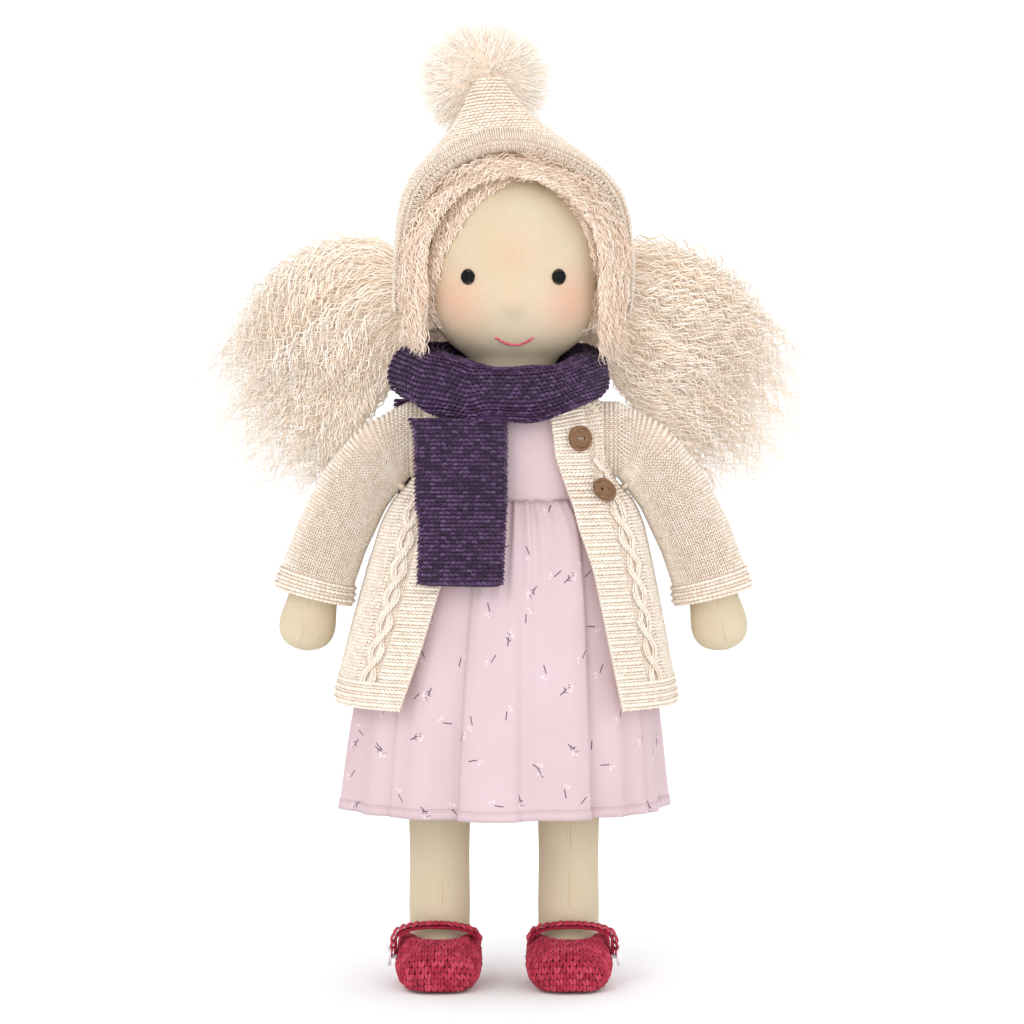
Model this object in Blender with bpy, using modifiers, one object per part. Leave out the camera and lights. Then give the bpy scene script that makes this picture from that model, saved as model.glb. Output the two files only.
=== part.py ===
# A waldorf doll: a stuffed cloth doll with wool hair in two side bunches, dressed in a
# pixie hat with a pom-pom, a scarf, an open cardigan, a gathered dress and strap shoes.
# Metres, +Z up. The doll stands on the floor at z = 0 and faces -Y; its left is +X.

import bpy
import bmesh
from math import cos, sin, pi, sqrt, exp, radians, degrees, asin, atan2, copysign
from mathutils import Matrix, Vector

MM = 0.001

# Clearances
seat_gap = 0.3 * MM
layer_gap = 0.6 * MM
overrun = 5.0 * MM
weld = 0.01 * MM

# Stuffed body
leg_length = 160.0 * MM
leg_spacing = 58.4 * MM
hip_radius = 16.5 * MM
ankle_radius = 13.4 * MM
torso_length = 89.0 * MM
torso_half_width = 41.5 * MM
torso_half_depth = 28.0 * MM
neck_radius = 18.0 * MM
neck_shift = 4.2 * MM
shoulder_drop = 19.0 * MM

# Head and face
neck_length = 10.0 * MM
head_height = 92.0 * MM
head_half_width = 43.0 * MM
eye_line_drop = 5.0 * MM
eye_line_dent = 1.0 * MM
eye_line_width = 6.0 * MM
eye_spacing = 40.3 * MM
eye_radius = 3.4 * MM
eye_thickness = 0.9 * MM
mouth_drop = 33.5 * MM
mouth_half_width = 8.6 * MM
mouth_curve = 3.2 * MM
mouth_thread = 0.55 * MM

# Feet
foot_length = 54.5 * MM
heel_back = 15.2 * MM
foot_half_width = 15.3 * MM
foot_half_height = 9.4 * MM
foot_rise = 19.0 * MM

# Arms
arm_spread = 49.0 * MM
arm_drop = 97.5 * MM
arm_radius = 12.2 * MM
hand_half_width = 13.4 * MM
hand_half_depth = 9.6 * MM
shoulder_half_width = 46.0 * MM

# Hair
cap_thickness = 7.2 * MM
cap_edge_drop = 27.0 * MM
hairline_half_width = 37.5 * MM
hairline_rise = 38.5 * MM
hairline_depth = 12.0 * MM
bunch_half_span = 132.0 * MM
bunch_back = 29.0 * MM
bunch_root_drop = 26.4 * MM
bunch_fall = 76.0 * MM
bunch_half_height = 43.0 * MM
bunch_half_depth = 24.0 * MM
bunch_slope = 25.0
root_half_height = 5.6 * MM
tie_thickness = 1.5 * MM

# Hat
hat_thickness = 2.5 * MM
hat_rise = 83.0 * MM
hat_edge_drop = 19.5 * MM
hat_tip_side = 11.0 * MM
hat_tip_back = 5.0 * MM
brim_reach = 26.0 * MM
brim_rise = 55.0 * MM
brim_turn = 5.0
pompom_half_width = 29.0 * MM
pompom_half_height = 26.0 * MM
pompom_half_depth = 27.0 * MM
pompom_side = 2.6 * MM

# Dress
cloth_thickness = 0.8 * MM
bodice_length = 47.5 * MM
skirt_length = 139.5 * MM
hem_half_width = 77.5 * MM
hem_half_depth = 60.0 * MM
gather_fullness = 1.2 * MM
fold_depth = 6.5 * MM
fold_width = 9.0

# Cardigan
knit_thickness = 3.6 * MM
cardigan_length = 139.0 * MM
cardigan_ease = 7.5 * MM
cuff_flare = 3.0 * MM
button_radius = 5.8 * MM
button_thickness = 2.6 * MM
button_hole_radius = 0.8 * MM
button_hole_spacing = 3.4 * MM
upper_button_side = 27.0 * MM
upper_button_drop = 20.5 * MM
lower_button_side = 36.5 * MM
lower_button_drop = 47.0 * MM

# Scarf
scarf_radius = 44.5 * MM
scarf_inner_radius = 23.0 * MM
scarf_half_height = 13.5 * MM
scarf_lift = 11.0 * MM
scarf_front_drop = 11.5 * MM
scarf_side_bulge = 15.0 * MM
scarf_side_lift = 2.5 * MM
tail_thickness = 6.0 * MM
front_tail_length = 84.0 * MM
front_tail_half_width = 21.5 * MM
front_tail_side = 24.5 * MM
back_tail_length = 62.0 * MM
back_tail_half_width = 17.0 * MM
back_tail_side = 39.0 * MM

# Shoes
shoe_wall = 2.3 * MM
shoe_height = 20.5 * MM
vamp_height = 13.5 * MM
opening_front = 26.0 * MM
opening_half_width = 12.6 * MM
strap_half_width = 3.5 * MM
strap_thickness = 2.0 * MM
strap_forward = 17.8 * MM
strap_arch = 26.4 * MM
shoe_button_radius = 4.5 * MM
shoe_button_thickness = 2.0 * MM
shoe_button_height = 13.0 * MM
shank_radius = 1.0 * MM

# Counts
body_sides = 28
limb_sides = 16
skirt_sides = 64
turn_steps = 28
button_steps = 18
head_rows = 16
scarf_rings = 26
hip_dome_rows = 5
back_panel_spans = 16
front_panel_spans = 6
small_round_sides = 12
cutter_sides = 40
strap_steps = 9
mouth_steps = 9
tail_rows = 6

# Places that follow from the sizes
hip_z = leg_length
torso_bottom = hip_z + hip_radius + seat_gap
torso_top = torso_bottom + torso_length
shoulder_z = torso_top - shoulder_drop
waist_z = torso_top - bodice_length
hem_z = waist_z - skirt_length
cardigan_top = torso_top
cardigan_hem_z = cardigan_top - cardigan_length
head_bottom = torso_top + seat_gap
head_z = head_bottom + neck_length + head_height / 2
cap_half_width = head_half_width + seat_gap + cap_thickness
bunch_root_z = head_z - bunch_root_drop

# Shares, chosen by eye: (height, half width, half depth) from the seat to the neck
torso_shares = [
    (0.00, 0.72, 0.70),
    (0.05, 0.88, 0.86),
    (0.16, 0.98, 0.98),
    (0.32, 1.00, 1.00),
    (0.50, 0.94, 0.97),
    (0.66, 0.90, 0.93),
    (0.80, 0.91, 0.89),
    (0.89, 0.88, 0.83),
    (0.95, 0.77, 0.76),
    (1.00, 0.46, 0.66),
]

# (out, down, girth) from the shoulder joint to the fingertips
arm_root_share = 0.90
arm_shares = [
    (0.000, 0.000, 0.94),
    (0.245, 0.080, 1.02),
    (0.515, 0.249, 1.02),
    (0.735, 0.478, 0.99),
    (0.850, 0.637, 0.94),
    (0.905, 0.756, 0.90),
]
hand_shares = [
    (0.938, 0.830, 0.94),
    (0.962, 0.890, 1.00),
    (0.985, 0.950, 0.88),
    (0.995, 0.985, 0.58),
    (1.000, 1.000, 0.16),
]

# (height from hip to ankle, radius from ankle to hip)
leg_shares = [
    (0.00, 0.30),
    (0.18, 0.02),
    (0.40, 0.42),
    (0.62, 0.78),
    (0.82, 0.94),
    (1.00, 1.00),
]

# (forward, up, lean of the section, half width, half height) along the foot
foot_shares = [
    (0.02, 0.86, 0.15, 0.90, 1.42),
    (0.06, 0.62, 0.42, 0.94, 1.55),
    (0.18, 0.46, 0.70, 0.98, 1.42),
    (0.38, 0.36, 0.90, 1.00, 1.14),
    (0.62, 0.32, 1.00, 1.00, 0.98),
    (0.82, 0.28, 1.00, 0.92, 0.80),
    (0.94, 0.25, 1.00, 0.70, 0.60),
    (1.00, 0.24, 1.00, 0.34, 0.30),
]

# (out, down, half height, half depth) of a bunch from its root
bunch_shares = [
    (0.250, 0.00, 0.00, 0.00),
    (0.455, 0.00, 0.00, 0.00),
    (0.485, -0.02, 0.22, 0.28),
    (0.559, -0.04, 0.56, 0.66),
    (0.655, 0.11, 0.84, 0.92),
    (0.765, 0.32, 1.00, 1.00),
    (0.860, 0.45, 0.88, 0.90),
    (0.925, 0.53, 0.50, 0.62),
    (0.965, 0.57, 0.26, 0.34),
]

# (height above the head's middle, half width, shift towards the tip) of the hat
hat_shares = [
    (0.035, 1.000, 0.00),
    (0.250, 0.975, 0.00),
    (0.370, 0.930, 0.05),
    (0.470, 0.840, 0.12),
    (0.560, 0.690, 0.25),
    (0.650, 0.520, 0.42),
    (0.740, 0.360, 0.60),
    (0.840, 0.220, 0.80),
    (0.940, 0.120, 0.95),
    (1.000, 0.050, 1.00),
]

# (down the skirt, ease) and (down the cardigan, where its two front edges lie)
ease_shares = [(0.0, 0.0), (0.265, 0.0), (0.31, 0.5), (0.34, 0.7), (0.37, 0.40), (0.44, 0.33),
               (0.62, 0.12), (0.75, 0.20), (1.0, 0.42)]
depth_ease_share = 0.25
right_edge_shares = [(0.0, 0.40), (0.27, 0.44), (0.60, 0.475), (0.73, 0.525), (1.0, 0.62)]
left_edge_shares = [(0.0, 0.40), (0.19, 0.46), (0.27, 0.53), (0.40, 0.51), (0.60, 0.61), (1.0, 0.68)]
cardigan_row_shares = [0.0, 0.25, 0.50, 0.65, 0.73, 0.78, 0.83, 0.91]

# Where the skirt's folds turn in, in degrees round the doll from its front
fold_places = [-150, -118, -92, -66, -42, -19, 14, 34, 54, 80, 106, 133, 160, 187]
skirt_row_shares = [1.0, 0.76, 0.52, 0.30, 0.14, 0.05, 0.0]
skirt_flare_share = 0.5
gather_share = 0.12

body_squareness = 2.5
skirt_squareness = 2.15
strap_squareness = 5.0
shoe_mouth_squareness = 2.4

# Single shares, chosen by eye
ankle_share = 1.75
foot_height_share = 1.6
dome_start_share = 0.35
button_rim_share = 0.78
button_dish_share = 0.72
strap_clearance_share = 1.5
head_span_share = 0.93
scarf_bulge_place = 285
scarf_bulge_width = 42
front_narrowing = 0.16
back_narrowing = 0.10
tail_edge_share = 0.9
tie_place_share = 0.1
bunch_tip_slope = 0.6
bunch_tip_share = 0.2


# General helpers

def clear_scene():
    for thing in list(bpy.data.objects):
        bpy.data.objects.remove(thing, do_unlink=True)


def new_collection(name):
    collection = bpy.data.collections.new(name)
    bpy.context.scene.collection.children.link(collection)
    return collection


def make_material(name, colour, roughness):
    material = bpy.data.materials.new(name)
    material.use_nodes = True
    shader = material.node_tree.nodes["Principled BSDF"]
    shader.inputs["Base Color"].default_value = (*colour, 1.0)
    shader.inputs["Roughness"].default_value = roughness
    material.diffuse_color = (*colour, 1.0)
    return material


def add_object(name, mesh, material, collection, parent=None):
    thing = bpy.data.objects.new(name, mesh)
    collection.objects.link(thing)
    if material:
        mesh.materials.append(material)
    if parent:
        thing.parent = parent
        thing.matrix_parent_inverse = parent.matrix_world.inverted()
    return thing


def add_pivot(name, place, collection, parent=None):
    pivot = bpy.data.objects.new(name, None)
    collection.objects.link(pivot)
    pivot.location = place
    if parent:
        pivot.parent = parent
        pivot.matrix_parent_inverse = Matrix.Translation(parent.location).inverted()
    bpy.context.view_layer.update()
    return pivot


def between(rows, at, column=1):
    """Read a table of shares at a place between its rows, along a smooth curve."""
    if at <= rows[0][0]:
        return rows[0][column]
    for row, following in zip(rows, rows[1:]):
        if at <= following[0]:
            t = (at - row[0]) / (following[0] - row[0])
            smooth = t * t * (3 - 2 * t)
            blend = (t + smooth) / 2
            return row[column] + (following[column] - row[column]) * blend
    return rows[-1][column]


def round_section(centre, across, along, half_across, half_along, sides, squareness=2.0):
    """Points round an ellipse, or round a squarer oval, in the plane of two directions."""
    power = 2.0 / squareness
    points = []
    for k in range(sides):
        angle = 2 * pi * k / sides
        u = copysign(abs(sin(angle)) ** power, sin(angle)) * half_across
        v = -copysign(abs(cos(angle)) ** power, cos(angle)) * half_along
        points.append(Vector(centre) + Vector(across) * u + Vector(along) * v)
    return points


def surface_from_rings(name, rings, closed_round=True, cap_first=False, cap_last=False):
    """Skin a row of rings that all have the same number of points."""
    shape = bmesh.new()
    rows = [[shape.verts.new(point) for point in ring] for ring in rings]
    count = len(rings[0])
    spans = count if closed_round else count - 1
    for lower, upper in zip(rows, rows[1:]):
        for k in range(spans):
            n = (k + 1) % count
            shape.faces.new((lower[k], lower[n], upper[n], upper[k]))
    if cap_first:
        shape.faces.new(list(reversed(rows[0])))
    if cap_last:
        shape.faces.new(rows[-1])
    bmesh.ops.recalc_face_normals(shape, faces=shape.faces)
    mesh = bpy.data.meshes.new(name)
    shape.to_mesh(mesh)
    shape.free()
    mesh.shade_smooth()
    return mesh


def solid_from_rings(name, rings):
    return surface_from_rings(name, rings, cap_first=True, cap_last=True)


def thicken(thing, thickness, outward=True):
    solidify = thing.modifiers.new("Thickness", "SOLIDIFY")
    solidify.thickness = thickness
    solidify.offset = 1.0 if outward else -1.0
    solidify.use_even_offset = True
    return solidify


def turned(name, profile):
    """A profile of (radius, height) from top to bottom, turned about its upright axis."""
    mesh = bpy.data.meshes.new(name)
    points = [(radius, 0.0, height) for radius, height in profile]
    edges = [(k, k + 1) for k in range(len(points) - 1)]
    mesh.from_pydata(points, edges, [])
    return mesh


def add_screw(thing, steps):
    screw = thing.modifiers.new("Turn", "SCREW")
    screw.steps = steps
    screw.render_steps = steps
    screw.use_merge_vertices = True
    screw.merge_threshold = weld
    screw.use_smooth_shade = True
    return screw


def cut_with(thing, cutter, operation="DIFFERENCE"):
    boolean = thing.modifiers.new("Cut", "BOOLEAN")
    boolean.operation = operation
    boolean.solver = "EXACT"
    boolean.object = cutter
    return boolean


def add_cutter(name, mesh, cutters, place=None):
    cutter = bpy.data.objects.new(name, mesh)
    cutters.objects.link(cutter)
    cutter.hide_render = True
    cutter.display_type = "WIRE"
    if place:
        cutter.location = place
    return cutter


def round_bar(name, radius, start, end, sides):
    """A plain round bar between two points."""
    shape = bmesh.new()
    run = Vector(end) - Vector(start)
    bmesh.ops.create_cone(shape, cap_ends=True, segments=sides, radius1=radius,
                          radius2=radius, depth=run.length)
    turn = run.to_track_quat("Z", "Y").to_matrix().to_4x4()
    middle = (Vector(start) + Vector(end)) / 2
    bmesh.ops.transform(shape, matrix=Matrix.Translation(middle) @ turn, verts=shape.verts)
    mesh = bpy.data.meshes.new(name)
    shape.to_mesh(mesh)
    shape.free()
    return mesh


def block(name, low, high):
    shape = bmesh.new()
    bmesh.ops.create_cube(shape, size=1.0)
    low, high = Vector(low), Vector(high)
    for vertex in shape.verts:
        for axis in range(3):
            vertex.co[axis] = low[axis] if vertex.co[axis] < 0 else high[axis]
    mesh = bpy.data.meshes.new(name)
    shape.to_mesh(mesh)
    shape.free()
    return mesh


# The body's outline and the layers over it

def body_x(z):
    """The upper body leans a little to the doll's left."""
    rise = min(max((z - hem_z) / skirt_length, 0.0), 1.0)
    return neck_shift * rise ** 1.5


def torso_halves(z):
    share = (z - torso_bottom) / torso_length
    return (between(torso_shares, share, 1) * torso_half_width,
            between(torso_shares, share, 2) * torso_half_depth)


def bodice_halves(z):
    width, depth = torso_halves(min(z, torso_top))
    layer = layer_gap + cloth_thickness
    return width + layer, depth + layer


def skirt_halves(z):
    """The skirt's outermost reach, from the gathered waist to the hem."""
    width, depth = bodice_halves(waist_z)
    down = min(max((waist_z - z) / skirt_length, 0.0), 1.0)
    spread = down ** skirt_flare_share
    width += gather_fullness
    depth += gather_fullness
    return (width + (hem_half_width - width) * spread,
            depth + (hem_half_depth - depth) * spread)


def dress_halves(z):
    return skirt_halves(z) if z < waist_z else bodice_halves(z)


def cardigan_halves(z):
    """The inside of the cardigan, which hangs clear of the dress below the arms."""
    width, depth = dress_halves(z)
    down = (cardigan_top - z) / cardigan_length
    ease = cardigan_ease * between(ease_shares, down) + layer_gap
    return width + ease, depth + layer_gap + (ease - layer_gap) * depth_ease_share


def level_ring(z, halves, sides, squareness, grow=0.0):
    width, depth = halves
    return round_section((body_x(z), 0, z), (1, 0, 0), (0, 1, 0),
                         width + grow, depth + grow, sides, squareness)


def torso_levels(grow, lowest):
    """(height, half width, half depth) of the torso above a height, moved out squarely."""
    rows = [(torso_bottom + share * torso_length, width * torso_half_width,
             depth * torso_half_depth) for share, width, depth in torso_shares]
    levels = []
    for k, (z, width, depth) in enumerate(rows):
        above = rows[min(k + 1, len(rows) - 1)]
        below = rows[max(k - 1, 0)]
        rise = above[0] - below[0]
        inset = ((below[1] - above[1]) + (below[2] - above[2])) / 2
        slope = sqrt(rise * rise + inset * inset)
        if z >= lowest:
            levels.append((z + grow * inset / slope, width + grow * rise / slope,
                           depth + grow * rise / slope))
    return levels


def add_torso(parts, material, parent):
    rings = []
    for share, _, _ in torso_shares:
        z = torso_bottom + share * torso_length
        rings.append(level_ring(z, torso_halves(z), body_sides, body_squareness))
    mesh = solid_from_rings("torso", rings)
    return add_object("torso", mesh, material, parts, parent)


def add_armhole_cutter(name, side, radius, cutters):
    x = body_x(shoulder_z) + side * torso_half_width / 2
    far = body_x(shoulder_z) + side * (shoulder_half_width + overrun)
    mesh = round_bar(name, radius, (x, 0, shoulder_z), (far, 0, shoulder_z), limb_sides * 2)
    return add_cutter(name, mesh, cutters)


def add_bodice(parts, armholes, material, parent):
    waist = waist_z + seat_gap
    levels = [(waist, *bodice_halves(waist))]
    levels += torso_levels(layer_gap + cloth_thickness, waist + overrun / 2)
    rings = [level_ring(z, (width, depth), body_sides, body_squareness)
             for z, width, depth in levels]
    mesh = surface_from_rings("dress_bodice", rings)
    bodice = add_object("dress_bodice", mesh, material, parts, parent)
    thicken(bodice, cloth_thickness, outward=False)
    for cutter in armholes:
        cut_with(bodice, cutter)
    return bodice


def fold(angle):
    """How far in a fold goes at an angle: 0 between folds and 1 at its bottom."""
    deepest = 0.0
    for place in fold_places:
        away = (degrees(angle) - place + 180) % 360 - 180
        deepest = max(deepest, exp(-(away / fold_width) ** 2))
    return deepest


def skirt_ring(z):
    down = (waist_z - z) / skirt_length
    reach = fold_depth * (gather_share + (1 - gather_share) * down)
    width, depth = skirt_halves(z)
    points = []
    squareness = body_squareness + (skirt_squareness - body_squareness) * down
    outer = level_ring(z, (width, depth), skirt_sides, squareness)
    for k, point in enumerate(outer):
        inward = Vector((body_x(z), 0, z)) - point
        inward.normalize()
        points.append(point + inward * reach * fold(2 * pi * k / skirt_sides))
    return points


def add_skirt(parts, material, parent):
    rows = [waist_z - share * skirt_length for share in skirt_row_shares]
    mesh = surface_from_rings("dress_skirt", [skirt_ring(z) for z in rows])
    skirt = add_object("dress_skirt", mesh, material, parts, parent)
    thicken(skirt, cloth_thickness, outward=False)
    return skirt


# The cardigan: a back and two fronts, joined at the sides and open down the middle

def cardigan_levels(grow=0.0):
    """(height, half width, half depth) from the hem up over the shoulders to the collar."""
    under = layer_gap * 2 + cloth_thickness
    over_shoulders = torso_levels(under + grow, shoulder_z - overrun)
    levels = []
    for share in cardigan_row_shares:
        z = cardigan_hem_z + share * (over_shoulders[0][0] - cardigan_hem_z)
        width, depth = cardigan_halves(z)
        levels.append((z, width + grow, depth + grow))
    return levels + over_shoulders


def cardigan_arc(level, first, last, spans):
    """Points on the inside of the cardigan between two angles round the doll."""
    z, width, depth = level
    power = 2.0 / body_squareness
    points = []
    for k in range(spans + 1):
        angle = first + (last - first) * k / spans
        x = copysign(abs(sin(angle)) ** power, sin(angle)) * width
        y = -copysign(abs(cos(angle)) ** power, cos(angle)) * depth
        points.append(Vector((body_x(z) + x, y, z)))
    return points


def add_cardigan_panel(name, edges, spans, parts, armholes, material, parent):
    rings = []
    for level in cardigan_levels():
        first, last = edges(level[0])
        rings.append(cardigan_arc(level, first, last, spans))
    mesh = surface_from_rings(name, rings, closed_round=False)
    for polygon in mesh.polygons:
        middle = polygon.center - Vector((body_x(polygon.center.z), 0, polygon.center.z))
        if polygon.normal.dot(middle) < 0:
            mesh.flip_normals()
            break
    panel = add_object(name, mesh, material, parts, parent)
    thicken(panel, knit_thickness)
    for cutter in armholes:
        cut_with(panel, cutter)
    return panel


def seam_angle(z):
    return seat_gap / 2 / cardigan_halves(z)[0]


def front_edge(z, shares):
    down = (cardigan_top - z) / cardigan_length
    sideways = between(shares, down)
    return asin(sideways ** (body_squareness / 2.0))


def add_cardigan(parts, armholes, material, parent):
    right, left = armholes
    add_cardigan_panel("cardigan_back",
                       lambda z: (pi / 2 + seam_angle(z), 3 * pi / 2 - seam_angle(z)),
                       back_panel_spans, parts, armholes, material, parent)
    add_cardigan_panel("cardigan_left_front",
                       lambda z: (front_edge(z, left_edge_shares), pi / 2 - seam_angle(z)),
                       front_panel_spans, parts, [left], material, parent)
    add_cardigan_panel("cardigan_right_front",
                       lambda z: (-pi / 2 + seam_angle(z), -front_edge(z, right_edge_shares)),
                       front_panel_spans, parts, [right], material, parent)


def cardigan_point(side_place, z):
    """The inside of the cardigan's front at a distance from the middle line."""
    width, depth = cardigan_halves(z)
    fore = (1 - (side_place / width) ** body_squareness) ** (1 / body_squareness)
    return Vector((body_x(z) + side_place, -fore * depth, z))


def add_coat_button(name, side_place, drop, parts, cutters, material, parent):
    """A wooden button with a raised rim and two holes, lying on the left front's band."""
    z = torso_top - drop
    middle = cardigan_point(side_place, z)
    outer_side = cardigan_point(side_place + button_radius, z)
    inner_side = cardigan_point(side_place - button_radius, z)
    above = cardigan_point(side_place, z + button_radius)
    below = cardigan_point(side_place, z - button_radius)
    normal = (outer_side - inner_side).cross(above - below).normalized()
    rise = 0.0
    for k in range(8):
        rim_side = side_place + button_radius * sin(pi * k / 4)
        rim_point = cardigan_point(rim_side, z + button_radius * cos(pi * k / 4))
        rise = max(rise, (rim_point - middle).dot(normal))
    seat = middle + normal * (knit_thickness + rise + layer_gap)
    rim = button_radius * button_rim_share
    dish = button_thickness * button_dish_share
    profile = [(0.0, dish), (rim * 0.9, dish), (rim, button_thickness),
               (button_radius * 0.95, button_thickness), (button_radius, dish),
               (button_radius, button_thickness * 0.3), (button_radius * 0.9, 0.0), (0.0, 0.0)]
    button = add_object(name, turned(name, profile), material, parts, parent)
    add_screw(button, button_steps)
    button.rotation_euler = normal.to_track_quat("Z", "Y").to_euler()
    button.location = seat
    for k, way in enumerate((-1, 1)):
        x = way * button_hole_spacing / 2
        hole = round_bar(f"{name}_hole_{k}", button_hole_radius, (x, 0, -overrun),
                         (x, 0, overrun), small_round_sides)
        cutter = add_cutter(f"{name}_hole_{k}", hole, cutters, seat)
        cutter.rotation_euler = button.rotation_euler
        cut_with(button, cutter)
    return button


# Arms and sleeves

def arm_place(out, down, side):
    x = body_x(shoulder_z) + side * (shoulder_half_width + out * arm_spread)
    return Vector((x, 0, shoulder_z - down * arm_drop))


def limb_ring(centre, heading, half_width, half_depth):
    back = Vector((0, 1, 0))
    across = back.cross(heading).normalized()
    return round_section(centre, across, back, half_width, half_depth, limb_sides)


def arm_stations(side):
    """Centre, heading and half sizes of each section of an arm, shoulder first."""
    rows = [(o, d, g * arm_radius, g * arm_radius) for o, d, g in arm_shares]
    rows += [(o, d, g * hand_half_width, g * hand_half_depth) for o, d, g in hand_shares]
    centres = [arm_place(row[0], row[1], side) for row in rows]
    stations = []
    for k, row in enumerate(rows):
        if k == 0:
            heading = Vector((side, 0, 0))
        else:
            ahead = centres[min(k + 1, len(rows) - 1)]
            heading = (ahead - centres[k - 1]).normalized()
        stations.append((centres[k], heading, row[2], row[3]))
    return stations


def torso_side():
    return torso_halves(shoulder_z)[0] + seat_gap


def add_arm(name, side, parts, material, pivot):
    root = Vector((body_x(shoulder_z) + side * torso_side(), 0, shoulder_z))
    stations = arm_stations(side)
    root_radius = arm_radius * arm_root_share
    rings = [limb_ring(root, Vector((side, 0, 0)), root_radius, root_radius)]
    rings += [limb_ring(*station) for station in stations]
    mesh = solid_from_rings(name, rings)
    return add_object(name, mesh, material, parts, pivot)


def sleeve_start():
    return cardigan_halves(shoulder_z)[0] + knit_thickness + layer_gap + seat_gap


def add_sleeve(name, side, parts, material, pivot):
    """A knitted tube over the arm, round about the shoulder joint where it meets the body."""
    start = Vector((body_x(shoulder_z) + side * sleeve_start(), 0, shoulder_z))
    inner = arm_radius + layer_gap
    rings = [limb_ring(start, Vector((side, 0, 0)), inner, inner)]
    stations = arm_stations(side)[:len(arm_shares)]
    for k, (centre, heading, half_width, half_depth) in enumerate(stations):
        flare = cuff_flare * (k / (len(stations) - 1)) ** 2
        rings.append(limb_ring(centre, heading, half_width + layer_gap + flare,
                               half_depth + layer_gap + flare))
    mesh = surface_from_rings(name, rings)
    sleeve = add_object(name, mesh, material, parts, pivot)
    thicken(sleeve, knit_thickness - layer_gap)
    return sleeve


# Legs, feet and shoes

def foot_rings(x, grow, floor):
    """Sections of a foot from the ankle to the toes, cut flat at its floor."""
    rings = []
    for forward, up, lean, width, height in foot_shares:
        y = -forward * (foot_length - heel_back + grow)
        z = up * foot_rise * foot_height_share
        tilt = lean * pi / 2
        along = Vector((0, cos(tilt), -sin(tilt)))
        ring = round_section((x, y, z), (1, 0, 0), along, width * foot_half_width + grow,
                             height * foot_half_height + grow, limb_sides)
        for point in ring:
            point.z = max(point.z, floor)
        rings.append(ring)
    return rings


def leg_rings(x, grow, floor):
    ankle_z = foot_rise * ankle_share
    rings = []
    for k in range(hip_dome_rows):
        angle = pi / 2 * (1 - (k + dome_start_share) / hip_dome_rows)
        radius = hip_radius * cos(angle)
        rings.append(round_section((x, 0, hip_z + hip_radius * sin(angle)), (1, 0, 0),
                                   (0, 1, 0), radius, radius, limb_sides))
    for share, swell in reversed(leg_shares):
        z = ankle_z + (hip_z - ankle_z) * share
        radius = ankle_radius + (hip_radius - ankle_radius) * swell + grow
        rings.append(round_section((x, 0, z), (1, 0, 0), (0, 1, 0), radius, radius,
                                   limb_sides))
    return rings + foot_rings(x, grow, floor)


def add_leg(name, side, parts, material, pivot):
    x = side * leg_spacing / 2
    mesh = solid_from_rings(name, leg_rings(x, 0.0, shoe_wall + seat_gap))
    return add_object(name, mesh, material, parts, pivot)


def add_shoe(name, side, parts, cutters, material, pivot):
    """A crocheted shell round the foot, open over the instep."""
    x = side * leg_spacing / 2
    grow = layer_gap + shoe_wall
    outer = leg_rings(x, grow, 0.0)[-len(foot_shares) - 1:]
    shoe = add_object(name, solid_from_rings(name, outer), material, parts, pivot)
    inside = leg_rings(x, layer_gap, shoe_wall)[-len(foot_shares) - 2:]
    cut_with(shoe, add_cutter(name + "_inside", solid_from_rings(name + "_inside", inside), cutters))
    reach = foot_length + overrun
    top = block(name + "_top", (x - reach, -reach, shoe_height), (x + reach, reach, shoe_height * 3))
    cut_with(shoe, add_cutter(name + "_top", top, cutters))
    middle = (opening_front - ankle_radius) / 2
    mouth = round_section((x, -middle, vamp_height), (1, 0, 0), (0, 1, 0), opening_half_width,
                          (opening_front + ankle_radius) / 2, body_sides,
                          shoe_mouth_squareness)
    lifted = [point + Vector((0, 0, shoe_height * 2)) for point in mouth]
    cutter = solid_from_rings(name + "_mouth", [mouth, lifted])
    cut_with(shoe, add_cutter(name + "_mouth", cutter, cutters))
    return shoe


def shoe_side():
    return foot_half_width + layer_gap + shoe_wall


def strap_path(side):
    """From the inner edge of the shoe over the instep and down outside its outer wall."""
    inner = -(shoe_side() - shoe_wall / 2)
    outer = shoe_side() + seat_gap + strap_thickness / 2
    stem = shoe_button_height + shank_radius + seat_gap
    top = shoe_height + seat_gap
    points = [(inner, top)]
    for k in range(1, strap_steps):
        share = k / strap_steps
        sideways = inner + (outer - inner) * (1 - cos(pi * share)) / 2
        rise = (strap_arch - top) * sin(pi * share) ** 0.8
        points.append((sideways, top + rise))
    points += [(outer, top), (outer, stem)]
    return [(side * sideways, z) for sideways, z in points]


def add_strap(name, side, parts, cutters, material, pivot):
    x = side * leg_spacing / 2
    path = strap_path(side)
    rings = []
    for k, (sideways, z) in enumerate(path):
        before = path[max(k - 1, 0)]
        after = path[min(k + 1, len(path) - 1)]
        heading = Vector((after[0] - before[0], 0, after[1] - before[1])).normalized()
        if k == 0:
            heading = Vector((0, 0, 1))
        across = heading.cross(Vector((0, 1, 0)))
        rings.append(round_section((x + sideways, -strap_forward, z), (0, 1, 0), across,
                                   strap_half_width, strap_thickness / 2, small_round_sides,
                                   strap_squareness))
    strap = add_object(name, solid_from_rings(name, rings), material, parts, pivot)
    foot = leg_rings(x, layer_gap * strap_clearance_share, shoe_wall)[-len(foot_shares) - 2:]
    cut_with(strap, add_cutter(name + "_foot", solid_from_rings(name + "_foot", foot), cutters))
    return strap


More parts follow.
